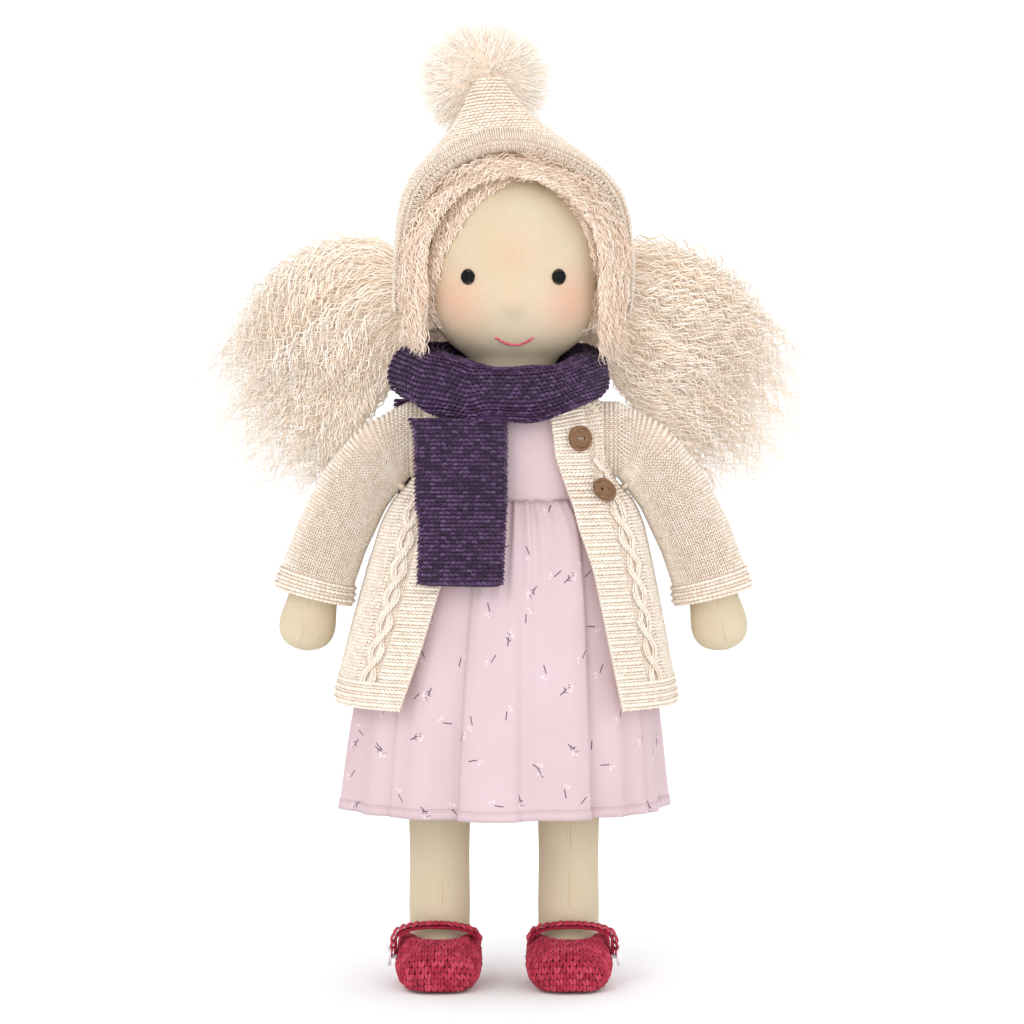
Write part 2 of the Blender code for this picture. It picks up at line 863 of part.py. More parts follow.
def add_shoe_button(name, side, parts, cutters, material, pivot):
    """A flat button on a thread shank, which holds the strap's end against the shoe."""
    x = side * (leg_spacing / 2 + shoe_side() + seat_gap)
    shank = strap_thickness + layer_gap + seat_gap
    r, t = shoe_button_radius, shoe_button_thickness
    profile = [(0.0, shank + t * 0.7), (r * 0.72, shank + t * 0.7), (r * 0.82, shank + t),
               (r * 0.94, shank + t), (r, shank + t * 0.6), (r * 0.9, shank),
               (shank_radius, shank), (shank_radius, 0.0), (0.0, 0.0)]
    button = add_object(name, turned(name, profile), material, parts, pivot)
    add_screw(button, button_steps)
    place = Vector((x, -strap_forward, shoe_button_height))
    button.matrix_world = Matrix.Translation(place) @ Matrix.Rotation(side * pi / 2, 4, "Y")
    return button


# Head, face and hair

def head_radius(z):
    """The head is a ball tied in a little at the eye line, on a straight neck."""
    rise = (z - head_z) / (head_height / 2)
    ball = head_half_width * sqrt(max(1 - rise * rise, 0.0))
    dent = eye_line_dent * exp(-((z - head_z + eye_line_drop) / eye_line_width) ** 2)
    return max(ball - dent, neck_radius if z < head_z else 0.0)


def head_heights(count, lowest):
    top = head_z + head_height / 2
    span = pi * head_span_share
    heights = [head_z + head_height / 2 * cos(span * k / count) for k in range(count + 1)]
    return [top] + [z for z in heights[1:] if z > lowest] + [lowest]


def add_head(parts, material, pivot):
    profile = [(head_radius(z), z) for z in head_heights(head_rows, head_bottom)]
    profile[0] = (0.0, profile[0][1])
    profile.append((0.0, head_bottom))
    mesh = turned("head", profile)
    mesh.transform(Matrix.Translation((0, 0, -pivot.location.z)))
    head = add_object("head", mesh, material, parts, None)
    head.parent = pivot
    add_screw(head, turn_steps)
    return head


def grown_head(name, grow, cutters, lowest):
    """The head's outline moved out by a distance, as one closed form."""
    profile = [(head_radius(z) + grow, z) for z in head_heights(head_rows, lowest)]
    top = profile[0][1] + grow
    profile = [(0.0, top)] + [(r, z + grow * (z - head_z) / (head_height / 2)) for r, z in profile[1:-1]]
    profile += [(head_radius(lowest) + grow, lowest), (0.0, lowest)]
    cutter = add_cutter(name, turned(name, profile), cutters, (neck_shift, 0, 0))
    add_screw(cutter, turn_steps)
    return cutter


def add_face(parts, thread_black, thread_pink, pivot):
    z = head_z - eye_line_drop
    for name, side in (("left_eye", 1), ("right_eye", -1)):
        x = side * eye_spacing / 2
        out = atan2(x, sqrt(head_radius(z) ** 2 - x ** 2))
        normal = Vector((sin(out), -cos(out), 0))
        seat = Vector((neck_shift, 0, z)) + normal * (head_radius(z) + eye_line_dent / 2 + seat_gap)
        low = seat
        high = low + normal * eye_thickness
        mesh = round_bar(name, eye_radius, low, high, body_sides)
        mesh.shade_smooth()
        mesh.set_sharp_from_angle(angle=radians(40))
        add_object(name, mesh, thread_black, parts, pivot)
    curve = bpy.data.curves.new("mouth", "CURVE")
    curve.dimensions = "3D"
    curve.bevel_depth = mouth_thread
    curve.bevel_resolution = 2
    curve.use_fill_caps = True
    line = curve.splines.new("POLY")
    line.points.add(mouth_steps - 1)
    for k in range(mouth_steps):
        x = mouth_half_width * (2 * k / (mouth_steps - 1) - 1)
        z = head_z - mouth_drop + mouth_curve * (x / mouth_half_width) ** 2
        reach = head_radius(z) + mouth_thread + seat_gap * 2
        line.points[k].co = (neck_shift + x, -sqrt(reach ** 2 - x ** 2), z, 1.0)
    mouth = bpy.data.objects.new("mouth", curve)
    curve.materials.append(thread_pink)
    parts.objects.link(mouth)
    mouth.parent = pivot
    mouth.matrix_parent_inverse = pivot.matrix_world.inverted()


def add_hair_cap(parts, cutters, material, pivot):
    """Wool locks sewn over the head, open round the face."""
    edge = head_z - cap_edge_drop
    profile = [(head_radius(z) + seat_gap, z + seat_gap * (z - head_z) / head_height)
               for z in head_heights(head_rows, edge)]
    profile[0] = (0.0, profile[0][1])
    mesh = turned("hair_cap", profile)
    mesh.transform(Matrix.Translation((0, 0, -pivot.location.z)))
    cap = add_object("hair_cap", mesh, material, parts, None)
    cap.parent = pivot
    add_screw(cap, turn_steps)
    thicken(cap, cap_thickness)
    front = -head_half_width * 2
    arch = round_section((neck_shift, front, head_z), (1, 0, 0), (0, 0, 1),
                         hairline_half_width, hairline_rise, body_sides)
    arch_end = [point + Vector((0, -front - hairline_depth, 0)) for point in arch]
    cut_with(cap, add_cutter("hairline_arch", solid_from_rings("hairline_arch", [arch, arch_end]), cutters))
    cheeks = block("hairline_cheeks",
                   (neck_shift - hairline_half_width, front, head_bottom),
                   (neck_shift + hairline_half_width, -hairline_depth, head_z + seat_gap))
    cut_with(cap, add_cutter("hairline_cheeks", cheeks, cutters))
    return cap


def bunch_stations(side):
    """Centre, heading, half height and half depth along a bunch, from its root outwards."""
    reach = bunch_half_span - side * neck_shift
    rows = []
    for out, down, height, depth in bunch_shares:
        centre = Vector((neck_shift + side * reach * out, bunch_back, bunch_root_z - down * bunch_fall))
        rows.append((centre, max(height * bunch_half_height, root_half_height),
                     max(depth * bunch_half_depth, root_half_height)))
    tip_x = side * bunch_half_span
    last = rows[-1][0]
    tip = Vector((tip_x, bunch_back, last.z - (abs(tip_x) - abs(last.x)) * bunch_tip_slope))
    rows.append((tip, root_half_height * bunch_tip_share, root_half_height * bunch_tip_share))
    return rows


def add_bunch(name, side, parts, cap_cutter, material, pivot):
    rows = bunch_stations(side)
    rings = []
    for k, (centre, height, depth) in enumerate(rows):
        slope = radians(bunch_slope) * min(max((k - 1) / 2, 0.0), 1.0)
        heading = Vector((side * cos(slope), 0, -sin(slope)))
        across = Vector((0, 1, 0)).cross(heading).normalized()
        rings.append(round_section(centre, across, (0, 1, 0), height, depth, limb_sides))
    rings[-1] = [Vector((side * bunch_half_span, p.y, p.z)) for p in rings[-1]]
    bunch = add_object(name, solid_from_rings(name, rings), material, parts, pivot)
    cut_with(bunch, cap_cutter)
    return bunch


def add_hair_tie(name, side, parts, material, pivot):
    """The band of yarn that binds a bunch at its root."""
    rows = bunch_stations(side)
    centre = rows[1][0] - (rows[1][0] - rows[0][0]) * tie_place_share
    radius = root_half_height + seat_gap + tie_thickness
    shape = bpy.data.meshes.new(name)
    profile = bmesh.new()
    loop = []
    for k in range(small_round_sides):
        angle = -2 * pi * k / small_round_sides
        loop.append(profile.verts.new((radius + tie_thickness * cos(angle), 0,
                                       tie_thickness * sin(angle))))
    for k in range(small_round_sides):
        profile.edges.new((loop[k], loop[(k + 1) % small_round_sides]))
    profile.to_mesh(shape)
    profile.free()
    tie = add_object(name, shape, material, parts, pivot)
    add_screw(tie, button_steps)
    tie.matrix_world = Matrix.Translation(centre) @ Matrix.Rotation(pi / 2, 4, "Y")
    return tie


# Hat and pom-pom

def hat_rings(grow):
    inner = cap_half_width + seat_gap
    edge = head_z - hat_edge_drop
    rings = [round_section((neck_shift, 0, edge - grow), (1, 0, 0), (0, 1, 0), inner + grow,
                           inner + grow, body_sides)]
    for up, width, shift in hat_shares:
        centre = (neck_shift - hat_tip_side * shift, hat_tip_back * shift, head_z + up * hat_rise + grow)
        half = inner * width + grow
        rings.append(round_section(centre, (1, 0, 0), (0, 1, 0), half, half, body_sides))
    return rings


def add_hat(parts, cutters, material, pivot):
    """A knitted pixie bonnet: a cone over the hair, cut away in front along its brim."""
    mesh = surface_from_rings("hat", hat_rings(0.0), cap_last=True)
    hat = add_object("hat", mesh, material, parts, pivot)
    thicken(hat, hat_thickness)
    reach = cap_half_width * 2
    slab = block("brim", (-reach, -reach * 2, -reach * 2), (reach, 0.0, reach * 2))
    cutter = add_cutter("brim", slab, cutters)
    lean = atan2(brim_reach, brim_rise + hat_edge_drop)
    turn = Matrix.Rotation(radians(brim_turn), 4, "Z")
    tilt = Matrix.Rotation(lean, 4, "X")
    middle = turn @ Vector((0, -brim_reach, brim_rise))
    cutter.matrix_world = Matrix.Translation(Vector((neck_shift, 0, head_z)) + middle) @ turn @ tilt
    cut_with(hat, cutter)
    return hat


def add_pompom(parts, cutters, material, pivot):
    shape = bmesh.new()
    bmesh.ops.create_uvsphere(shape, u_segments=24, v_segments=12, radius=1.0)
    size = Matrix.Diagonal((pompom_half_width, pompom_half_depth, pompom_half_height, 1.0))
    tip = Vector((neck_shift - hat_tip_side, hat_tip_back, head_z + hat_rise + hat_thickness))
    place = tip + Vector((-pompom_side, pompom_half_depth, 0))
    bmesh.ops.transform(shape, matrix=Matrix.Translation(place) @ size, verts=shape.verts)
    mesh = bpy.data.meshes.new("pompom")
    shape.to_mesh(mesh)
    shape.free()
    mesh.shade_smooth()
    pompom = add_object("pompom", mesh, material, parts, pivot)
    form = solid_from_rings("hat_form", hat_rings(hat_thickness + seat_gap))
    cut_with(pompom, add_cutter("hat_form", form, cutters))
    return pompom


# Scarf

def scarf_ring(angle):
    """One section of the wrap, at an angle round the neck from the front."""
    front = ((1 + cos(angle)) / 2) ** 1.5
    aside = (degrees(angle) - scarf_bulge_place + 180) % 360 - 180
    bulge = exp(-(aside / scarf_bulge_width) ** 2)
    outer = scarf_radius + scarf_side_bulge * bulge
    z = torso_top + scarf_lift - scarf_front_drop * front + scarf_side_lift * bulge
    out = Vector((sin(angle), -cos(angle), 0))
    centre = Vector((neck_shift, 0, z)) + out * (outer + scarf_inner_radius) / 2
    return round_section(centre, out, (0, 0, 1), (outer - scarf_inner_radius) / 2,
                         scarf_half_height, small_round_sides, body_squareness)


def wrap_mesh():
    rings = [scarf_ring(2 * pi * k / scarf_rings) for k in range(scarf_rings)]
    return surface_from_rings("scarf", rings + [rings[0]])


def tail_mesh(name, side_place, half_width, length, facing, start_z, narrowing):
    """A flat end of the scarf, hanging over the cardigan in front (-1) or behind (1)."""
    rings = []
    for k in range(tail_rows + 1):
        share = k / tail_rows
        z = start_z - length * share
        depth = cardigan_halves(z)[1] + knit_thickness + layer_gap + tail_thickness / 2
        width = half_width * (1 - narrowing * share)
        x = body_x(z) - side_place + (half_width - width) * tail_edge_share
        rings.append(round_section((x, facing * depth, z), (1, 0, 0), (0, 1, 0),
                                   width, tail_thickness / 2, small_round_sides,
                                   strap_squareness))
    return solid_from_rings(name, rings)


def add_scarf(parts, cutters, material, parent):
    mesh = wrap_mesh()
    shape = bmesh.new()
    shape.from_mesh(mesh)
    bmesh.ops.remove_doubles(shape, verts=shape.verts, dist=weld)
    bmesh.ops.recalc_face_normals(shape, faces=shape.faces)
    shape.to_mesh(mesh)
    shape.free()
    mesh.shade_smooth()
    scarf = add_object("scarf", mesh, material, parts, parent)
    front = tail_mesh("front_tail", front_tail_side, front_tail_half_width, front_tail_length,
                      -1, torso_top, front_narrowing)
    back = tail_mesh("back_tail", back_tail_side, back_tail_half_width, back_tail_length,
                     1, torso_top + scarf_lift / 2, back_narrowing)
    cut_with(scarf, add_cutter("front_tail", front, cutters), "UNION")
    cut_with(scarf, add_cutter("back_tail", back, cutters), "UNION")
    rings = [level_ring(z, (width, depth), body_sides, body_squareness)
             for z, width, depth in cardigan_levels(knit_thickness + layer_gap)]
    cut_with(scarf, add_cutter("coat_form", solid_from_rings("coat_form", rings), cutters))
    head_form = grown_head("head_form", layer_gap, cutters, torso_top - overrun)
    cut_with(scarf, head_form)
    reach = shoulder_half_width + arm_spread
    sweep = arm_radius + knit_thickness + layer_gap
    for name, side in (("left_sweep", 1), ("right_sweep", -1)):
        x = body_x(shoulder_z)
        near = x + side * torso_half_width / 2
        bar = round_bar(name, sweep, (near, 0, shoulder_z), (x + side * reach, 0, shoulder_z),
                        cutter_sides)
        cut_with(scarf, add_cutter(name, bar, cutters))
    return scarf


def build():
    clear_scene()
    parts = new_collection("waldorf_doll")
    cutters = new_collection("cutters")

    skin = make_material("skin_jersey", (0.86, 0.73, 0.55), 0.85)
    wool_hair = make_material("mohair", (0.86, 0.70, 0.54), 0.9)
    black = make_material("black_thread", (0.01, 0.01, 0.012), 0.5)
    pink = make_material("pink_thread", (0.62, 0.12, 0.18), 0.6)
    band = make_material("hair_band", (0.80, 0.62, 0.48), 0.8)
    cream = make_material("cream_knit", (0.91, 0.80, 0.66), 0.9)
    fluff = make_material("pompom_wool", (0.92, 0.84, 0.74), 0.95)
    purple = make_material("purple_knit", (0.07, 0.035, 0.11), 0.9)
    cotton = make_material("pink_cotton", (0.84, 0.62, 0.63), 0.75)
    crimson = make_material("crimson_crochet", (0.52, 0.035, 0.08), 0.85)
    wood = make_material("button_wood", (0.16, 0.06, 0.025), 0.45)
    shell = make_material("white_button", (0.85, 0.86, 0.90), 0.3)

    body = add_pivot("doll", (0, 0, 0), parts)
    neck = add_pivot("neck_turn", (neck_shift, 0, torso_top), parts, body)
    shoulder_x = body_x(shoulder_z)
    left_shoulder = add_pivot("left_shoulder", (shoulder_x + shoulder_half_width, 0, shoulder_z),
                              parts, body)
    right_shoulder = add_pivot("right_shoulder", (shoulder_x - shoulder_half_width, 0, shoulder_z),
                               parts, body)

    armholes = []
    for name, side in (("right_armhole", -1), ("left_armhole", 1)):
        armholes.append(add_armhole_cutter(name, side, arm_radius * arm_root_share + layer_gap, cutters))

    add_torso(parts, skin, body)
    add_bodice(parts, armholes, cotton, body)
    add_skirt(parts, cotton, body)
    add_cardigan(parts, armholes, cream, body)
    add_coat_button("upper_button", upper_button_side, upper_button_drop, parts, cutters, wood, body)
    add_coat_button("lower_button", lower_button_side, lower_button_drop, parts, cutters, wood, body)
    add_scarf(parts, cutters, purple, body)

    for word, side, pivot in (("left", 1, left_shoulder), ("right", -1, right_shoulder)):
        add_arm(word + "_arm", side, parts, skin, pivot)
        add_sleeve(word + "_sleeve", side, parts, cream, pivot)
        hip = add_pivot(word + "_hip", (side * leg_spacing / 2, 0, hip_z), parts, body)
        add_leg(word + "_leg", side, parts, skin, hip)
        add_shoe(word + "_shoe", side, parts, cutters, crimson, hip)
        hinge_x = side * (leg_spacing / 2 - shoe_side() + shoe_wall / 2 - strap_thickness / 2)
        latch = add_pivot(word + "_strap_hinge", (hinge_x, -strap_forward, shoe_height + seat_gap),
                          parts, hip)
        add_strap(word + "_shoe_strap", side, parts, cutters, crimson, latch)
        add_shoe_button(word + "_shoe_button", side, parts, cutters, shell, hip)

    add_head(parts, skin, neck)
    add_face(parts, black, pink, neck)
    add_hair_cap(parts, cutters, wool_hair, neck)
    cap_form = grown_head("cap_form", cap_thickness + seat_gap * 2, cutters,
                          head_z - cap_edge_drop - overrun * 2)
    for word, side in (("left", 1), ("right", -1)):
        add_bunch(word + "_bunch", side, parts, cap_form, wool_hair, neck)
        add_hair_tie(word + "_hair_tie", side, parts, band, neck)
    crown = add_pivot("hat_lift", (neck_shift, 0, head_z), parts, neck)
    add_hat(parts, cutters, cream, crown)
    add_pompom(parts, cutters, fluff, crown)


build()
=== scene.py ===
# %% [markdown]
# A waldorf doll is sewn and knitted, so almost nothing on it is hard. This lesson dresses the
# solids of such a doll in what the real one is made of: cotton jersey over wool, mohair
# locks, knitted and crocheted yarn, and printed cotton. The solids say where each piece goes.
# Every soft surface here is found by looking in at them from outside, so it always fits.

# %% Load the solids
import bpy
import bmesh
import numpy as np
from math import atan2, cos, pi, radians, sin
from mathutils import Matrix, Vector
from mathutils.bvhtree import BVHTree


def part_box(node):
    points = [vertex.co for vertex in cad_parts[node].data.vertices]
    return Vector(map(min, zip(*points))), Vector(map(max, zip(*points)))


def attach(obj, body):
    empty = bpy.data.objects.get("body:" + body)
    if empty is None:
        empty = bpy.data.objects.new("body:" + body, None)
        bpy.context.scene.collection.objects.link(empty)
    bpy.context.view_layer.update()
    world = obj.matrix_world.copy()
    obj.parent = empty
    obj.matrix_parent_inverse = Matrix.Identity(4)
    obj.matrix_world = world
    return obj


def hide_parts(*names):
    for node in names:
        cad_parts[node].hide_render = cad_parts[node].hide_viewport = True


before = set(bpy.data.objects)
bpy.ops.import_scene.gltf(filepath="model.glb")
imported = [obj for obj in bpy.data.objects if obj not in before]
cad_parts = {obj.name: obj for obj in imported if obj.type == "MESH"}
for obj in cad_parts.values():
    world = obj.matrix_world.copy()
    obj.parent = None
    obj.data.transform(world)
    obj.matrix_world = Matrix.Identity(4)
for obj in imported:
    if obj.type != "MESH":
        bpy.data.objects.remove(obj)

MM = 0.001
scene = bpy.context.scene
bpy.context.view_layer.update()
head_low, head_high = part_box("head")
head_x = (head_low[0] + head_high[0]) / 2
crown_to_middle = 46.0 * MM
head_z = head_high[2] - crown_to_middle
print("the head's middle is at", round(head_x, 4), round(head_z, 4))


def in_scene(name, data):
    """A new object that shows some data, linked into the scene."""
    thing = bpy.data.objects.new(name, data)
    scene.collection.objects.link(thing)
    return thing


def mesh_from(shape, name):
    """Turn a finished form into a smooth mesh."""
    mesh = bpy.data.meshes.new(name)
    shape.to_mesh(mesh)
    shape.free()
    mesh.shade_smooth()
    return mesh



# %% [markdown]
# The photograph is taken from in front and a little above: the tops of the shoes show, and
# the eyes don't rise with nearness. A long lens 1.6 m away and 30 cm up gives the same, when
# it is aimed at the middle of the picture.

# %% Place the camera
camera_distance = 1.6
camera_height = 0.30
picture_width = 461.0 * MM
picture_middle = (3.6 * MM, 211.7 * MM)

camera_data = bpy.data.cameras.new("camera")
camera_data.sensor_width = 36.0
camera_data.lens = camera_data.sensor_width * camera_distance / picture_width
camera = in_scene("camera", camera_data)
camera.location = (picture_middle[0], -camera_distance, camera_height)
downward = atan2(camera_height - picture_middle[1], camera_distance)
camera.rotation_euler = (pi / 2 - downward, 0, 0)
scene.camera = camera
print("lens", round(camera_data.lens, 1), "mm")

# %% [markdown]
# Soft goods want soft light. Three large lamps stand in front, one of them low, so that the
# chin isn't dark. A fourth stands behind, and the world fills the shadows. The floor runs up
# into a backdrop as one bent sheet of white paper, as a paper roll does in a studio.

# %% Light the stage
scene.view_settings.view_transform = "Standard"
world = bpy.data.worlds.new("studio")
scene.world = world
world.use_nodes = True
background = world.node_tree.nodes["Background"]
background.inputs["Color"].default_value = (1.0, 1.0, 1.0, 1.0)
background.inputs["Strength"].default_value = 1.12
lit_place = Vector((0, 0, 0.2))


def add_lamp(name, place, size, watts):
    data = bpy.data.lights.new(name, "AREA")
    data.size = size
    data.energy = watts
    lamp = in_scene(name, data)
    lamp.location = place
    aim = lit_place - Vector(place)
    lamp.rotation_euler = aim.to_track_quat("-Z", "Y").to_euler()


add_lamp("key", (-0.8, -1.4, 1.1), 0.8, 6.0)
add_lamp("fill", (1.1, -1.3, 0.6), 1.0, 2.6)
add_lamp("low", (-0.1, -1.5, 0.12), 1.0, 4.6)
add_lamp("rim", (0.5, 1.2, 1.4), 0.8, 4.0)


paper_side, paper_front, paper_top = 5.0, -4.0, 4.0
bend_start, bend_radius, bend_steps = 1.5, 0.5, 8


def white_paper():
    paper = bpy.data.materials.new("white_paper")
    paper.use_nodes = True
    shader = paper.node_tree.nodes["Principled BSDF"]
    shader.inputs["Base Color"].default_value = (0.92, 0.92, 0.925, 1.0)
    shader.inputs["Roughness"].default_value = 0.9
    return paper


def add_backdrop():
    """One sheet of paper: flat under the doll, bent upwards behind it, and upright above."""
    rows = [(paper_front, 0.0), (bend_start, 0.0)]
    for k in range(1, bend_steps + 1):
        angle = pi / 2 * k / bend_steps
        rows.append((bend_start + bend_radius * sin(angle), bend_radius * (1 - cos(angle))))
    rows.append((bend_start + bend_radius, paper_top))
    shape = bmesh.new()
    left = [shape.verts.new((-paper_side, y, z)) for y, z in rows]
    right = [shape.verts.new((paper_side, y, z)) for y, z in rows]
    for k in range(len(rows) - 1):
        shape.faces.new((left[k], right[k], right[k + 1], left[k + 1]))
    backdrop = in_scene("backdrop", mesh_from(shape, "backdrop"))
    backdrop.data.materials.append(white_paper())


add_backdrop()

# %% [markdown]
# Colours are written as they are read off a screen, from 0 to 255, and turned into the
# linear values that shaders use. One helper makes a material, and the others each add and
# link one kind of node, so that every finish below stays short enough to read.

# %% Helpers for materials
def paint(red, green, blue):
    """A screen colour as a shader's linear colour."""
    shares = [value / 255 for value in (red, green, blue)]
    linear = [s / 12.92 if s <= 0.04045 else ((s + 0.055) / 1.055) ** 2.4 for s in shares]
    return (*linear, 1.0)


# Pale wool and hair let light through. A little warm light of their own stands for that.
through_light = paint(252, 238, 220)


def new_finish(name, colour, roughness, sheen=0.0, glow=0.0):
    """A finish in one screen colour; glow is how much light of its own it gives."""
    finish = bpy.data.materials.new(name)
    finish.use_nodes = True
    finish.diffuse_color = paint(*colour)
    values = {"Base Color": paint(*colour), "Roughness": roughness, "Sheen Weight": sheen,
              "Sheen Roughness": 0.4, "Specular IOR Level": 0.25,
              "Emission Color": through_light, "Emission Strength": glow}
    shader = finish.node_tree.nodes["Principled BSDF"]
    for label, value in values.items():
        shader.inputs[label].default_value = value
    return finish


def tree_node(tree, kind, inputs=(), **settings):
    """Add a node to a tree, set its properties, and set or link its inputs."""
    made = tree.nodes.new(kind)
    for name, value in settings.items():
        setattr(made, name, value)
    for place, value in dict(inputs).items():
        if isinstance(value, bpy.types.NodeSocket):
            tree.links.new(value, made.inputs[place])
        else:
            made.inputs[place].default_value = value
    return made


def node(finish, kind, inputs=(), **settings):
    return tree_node(finish.node_tree, kind, inputs, **settings)


def to_shader(finish, socket, name):
    shader = finish.node_tree.nodes["Principled BSDF"]
    finish.node_tree.links.new(socket, shader.inputs[name])


def object_place(finish):
    return node(finish, "ShaderNodeTexCoord").outputs["Object"]


def cloth_place(finish):
    return node(finish, "ShaderNodeUVMap", uv_map="cloth").outputs["UV"]


def noise(finish, place, scale, detail=3.0, roughness=0.55):
    return node(finish, "ShaderNodeTexNoise",
                {"Vector": place, "Scale": scale, "Detail": detail, "Roughness": roughness})


def ramp(finish, share, stops):
    made = node(finish, "ShaderNodeValToRGB", {"Fac": share})
    entries = made.color_ramp.elements
    while len(entries) < len(stops):
        entries.new(0.5)
    for entry, (place, colour) in zip(entries, stops):
        entry.position = place
        entry.color = paint(*colour)
    return made.outputs["Color"]


def mixed(finish, share, tone, colour):
    """Lay a screen colour over a tone, by a share of it."""
    return node(finish, "ShaderNodeMix", {0: share, 6: tone, 7: paint(*colour)},
                data_type="RGBA").outputs[2]


def sums(finish, kind, first, second=0.0, third=0.0):
    return node(finish, "ShaderNodeMath", {0: first, 1: second, 2: third},
                operation=kind).outputs[0]


def raised(finish, height, strength, distance):
    made = node(finish, "ShaderNodeBump",
                {"Height": height, "Strength": strength, "Distance": distance})
    to_shader(finish, made.outputs["Normal"], "Normal")


# %% [markdown]
# The doll's skin is fine cotton jersey, stretched tight over wool. Close up it shows thin
# upright ribs about a millimetre apart. The head's skin also carries a breath of red
# chalk on the cheeks and on the forehead, which fades out with distance from a middle point.

# %% Skin
ribs_per_metre = 1000.0


def ribbed_jersey(name):
    """The jersey's finish, and its tone, which isn't linked to the shader yet."""
    finish = new_finish(name, (208, 193, 166), 0.85, sheen=0.1)
    place = cloth_place(finish)
    parts = node(finish, "ShaderNodeSeparateXYZ", {"Vector": place})
    rib = sums(finish, "SINE", sums(finish, "MULTIPLY", parts.outputs[0],
                                    ribs_per_metre * 2 * pi))
    grain = noise(finish, place, 2600.0, 2.0).outputs["Fac"]
    cloud = noise(finish, place, 26.0, 3.0).outputs["Fac"]
    tone = ramp(finish, cloud, [(0.3, (205, 190, 161)), (0.7, (212, 198, 173))])
    rib_share = sums(finish, "MULTIPLY_ADD", rib, 0.045, 0.05)
    tone = mixed(finish, rib_share, tone, (182, 160, 128))
    height = sums(finish, "ADD", sums(finish, "MULTIPLY", rib, 0.5), grain)
    raised(finish, height, 0.35, 0.0004)
    return finish, tone


skin, skin_tone = ribbed_jersey("skin_jersey")
to_shader(skin, skin_tone, "Base Color")

# (middle, how far it reaches, how strong it is)
blush_spots = [
    ((head_x - 27.0 * MM, -34.0 * MM, head_z - 17.0 * MM), 15.0 * MM, 0.55),
    ((head_x + 27.0 * MM, -34.0 * MM, head_z - 17.0 * MM), 15.0 * MM, 0.60),
    ((head_x, -43.0 * MM, head_z + 6.0 * MM), 11.0 * MM, 0.30),
    ((head_x - 1.0 * MM, -45.0 * MM, head_z - 15.0 * MM), 6.0 * MM, 0.25),
]
fade_base = 2.718


def blushing_skin():
    finish, tone = ribbed_jersey("face_jersey")
    place = object_place(finish)
    for middle, reach, strength in blush_spots:
        away = node(finish, "ShaderNodeVectorMath", {0: place, 1: middle}, operation="DISTANCE")
        share = sums(finish, "DIVIDE", away.outputs["Value"], reach)
        square = sums(finish, "MULTIPLY", share, share)
        fade = sums(finish, "POWER", fade_base, sums(finish, "MULTIPLY", square, -1.0))
        tone = mixed(finish, sums(finish, "MULTIPLY", fade, strength), tone,
                     (216, 158, 138))
    to_shader(finish, tone, "Base Color")
    return finish


face_skin = blushing_skin()

# %% [markdown]
# Yarn gets its colour from each stitch: a stitch stores a random number when it is placed,
# and the finish turns that number into a slightly lighter or darker tone, as hand-dyed and
# heathered wool has. Fine noise along the stitch stands for the twisted fibres.

# %% Yarn, hair and thread
def yarn(name, dark, middle, light, grain_scale, roughness=0.9, sheen=0.1, bump=0.2, glow=0.0):
    finish = new_finish(name, middle, roughness, sheen, glow)
    shade = node(finish, "ShaderNodeAttribute", attribute_name="shade").outputs["Fac"]
    place = object_place(finish)
    grain = noise(finish, place, grain_scale, 4.0, 0.7).outputs["Fac"]
    share = sums(finish, "ADD", sums(finish, "MULTIPLY", shade, 0.5),
                 sums(finish, "MULTIPLY", grain, 0.5))
    tone = ramp(finish, share, [(0.25, dark), (0.5, middle), (0.75, light)])
    to_shader(finish, tone, "Base Color")
    raised(finish, grain, bump, 0.0003)
    return finish


hair_grain, thread_grain = 900.0, 1800.0
cream_yarn = yarn("cream_yarn", (230, 214, 198), (238, 225, 211), (245, 236, 224), 2200.0,
                  glow=0.07)
# The cream ground is a little darker and warmer than the cream yarn: painted shade between the
# stitches.
cream_shade_ground = new_finish("cream_shade_ground", (230, 212, 195), 0.95, glow=0.07)
purple_yarn = yarn("purple_yarn", (54, 33, 60), (74, 49, 82), (100, 74, 112), 2600.0)
# The purple ground is darker than the purple yarn: painted shade between the stitches.
purple_shade_ground = new_finish("purple_shade_ground", (62, 42, 72), 0.95)
crimson_yarn = yarn("crimson_yarn", (154, 34, 58), (178, 48, 72), (198, 72, 92), 2400.0)
# The crimson ground is darker than the crimson yarn: painted shade between the stitches.
crimson_shade_ground = new_finish("crimson_shade_ground", (140, 28, 50), 0.95)
# The bunches' mohair is a lighter copy of the mohair on the head, with more glow: painted light that
# makes up for the shade among its many layered strands.
mohair = yarn("mohair", (245, 224, 203), (251, 238, 223), (254, 248, 240), hair_grain,
              roughness=0.7, bump=0.05, glow=0.12)
cap_mohair = yarn("cap_mohair", (232, 203, 180), (241, 220, 201), (251, 238, 226), hair_grain,
                  roughness=0.7, bump=0.05, glow=0.08)
# The cloth under the hair and inside the bunches is a little darker and warmer than the locks on it:
# painted shade among the strands.
hair_shade_ground = new_finish("hair_shade_ground", (238, 216, 194), 0.95, glow=0.05)
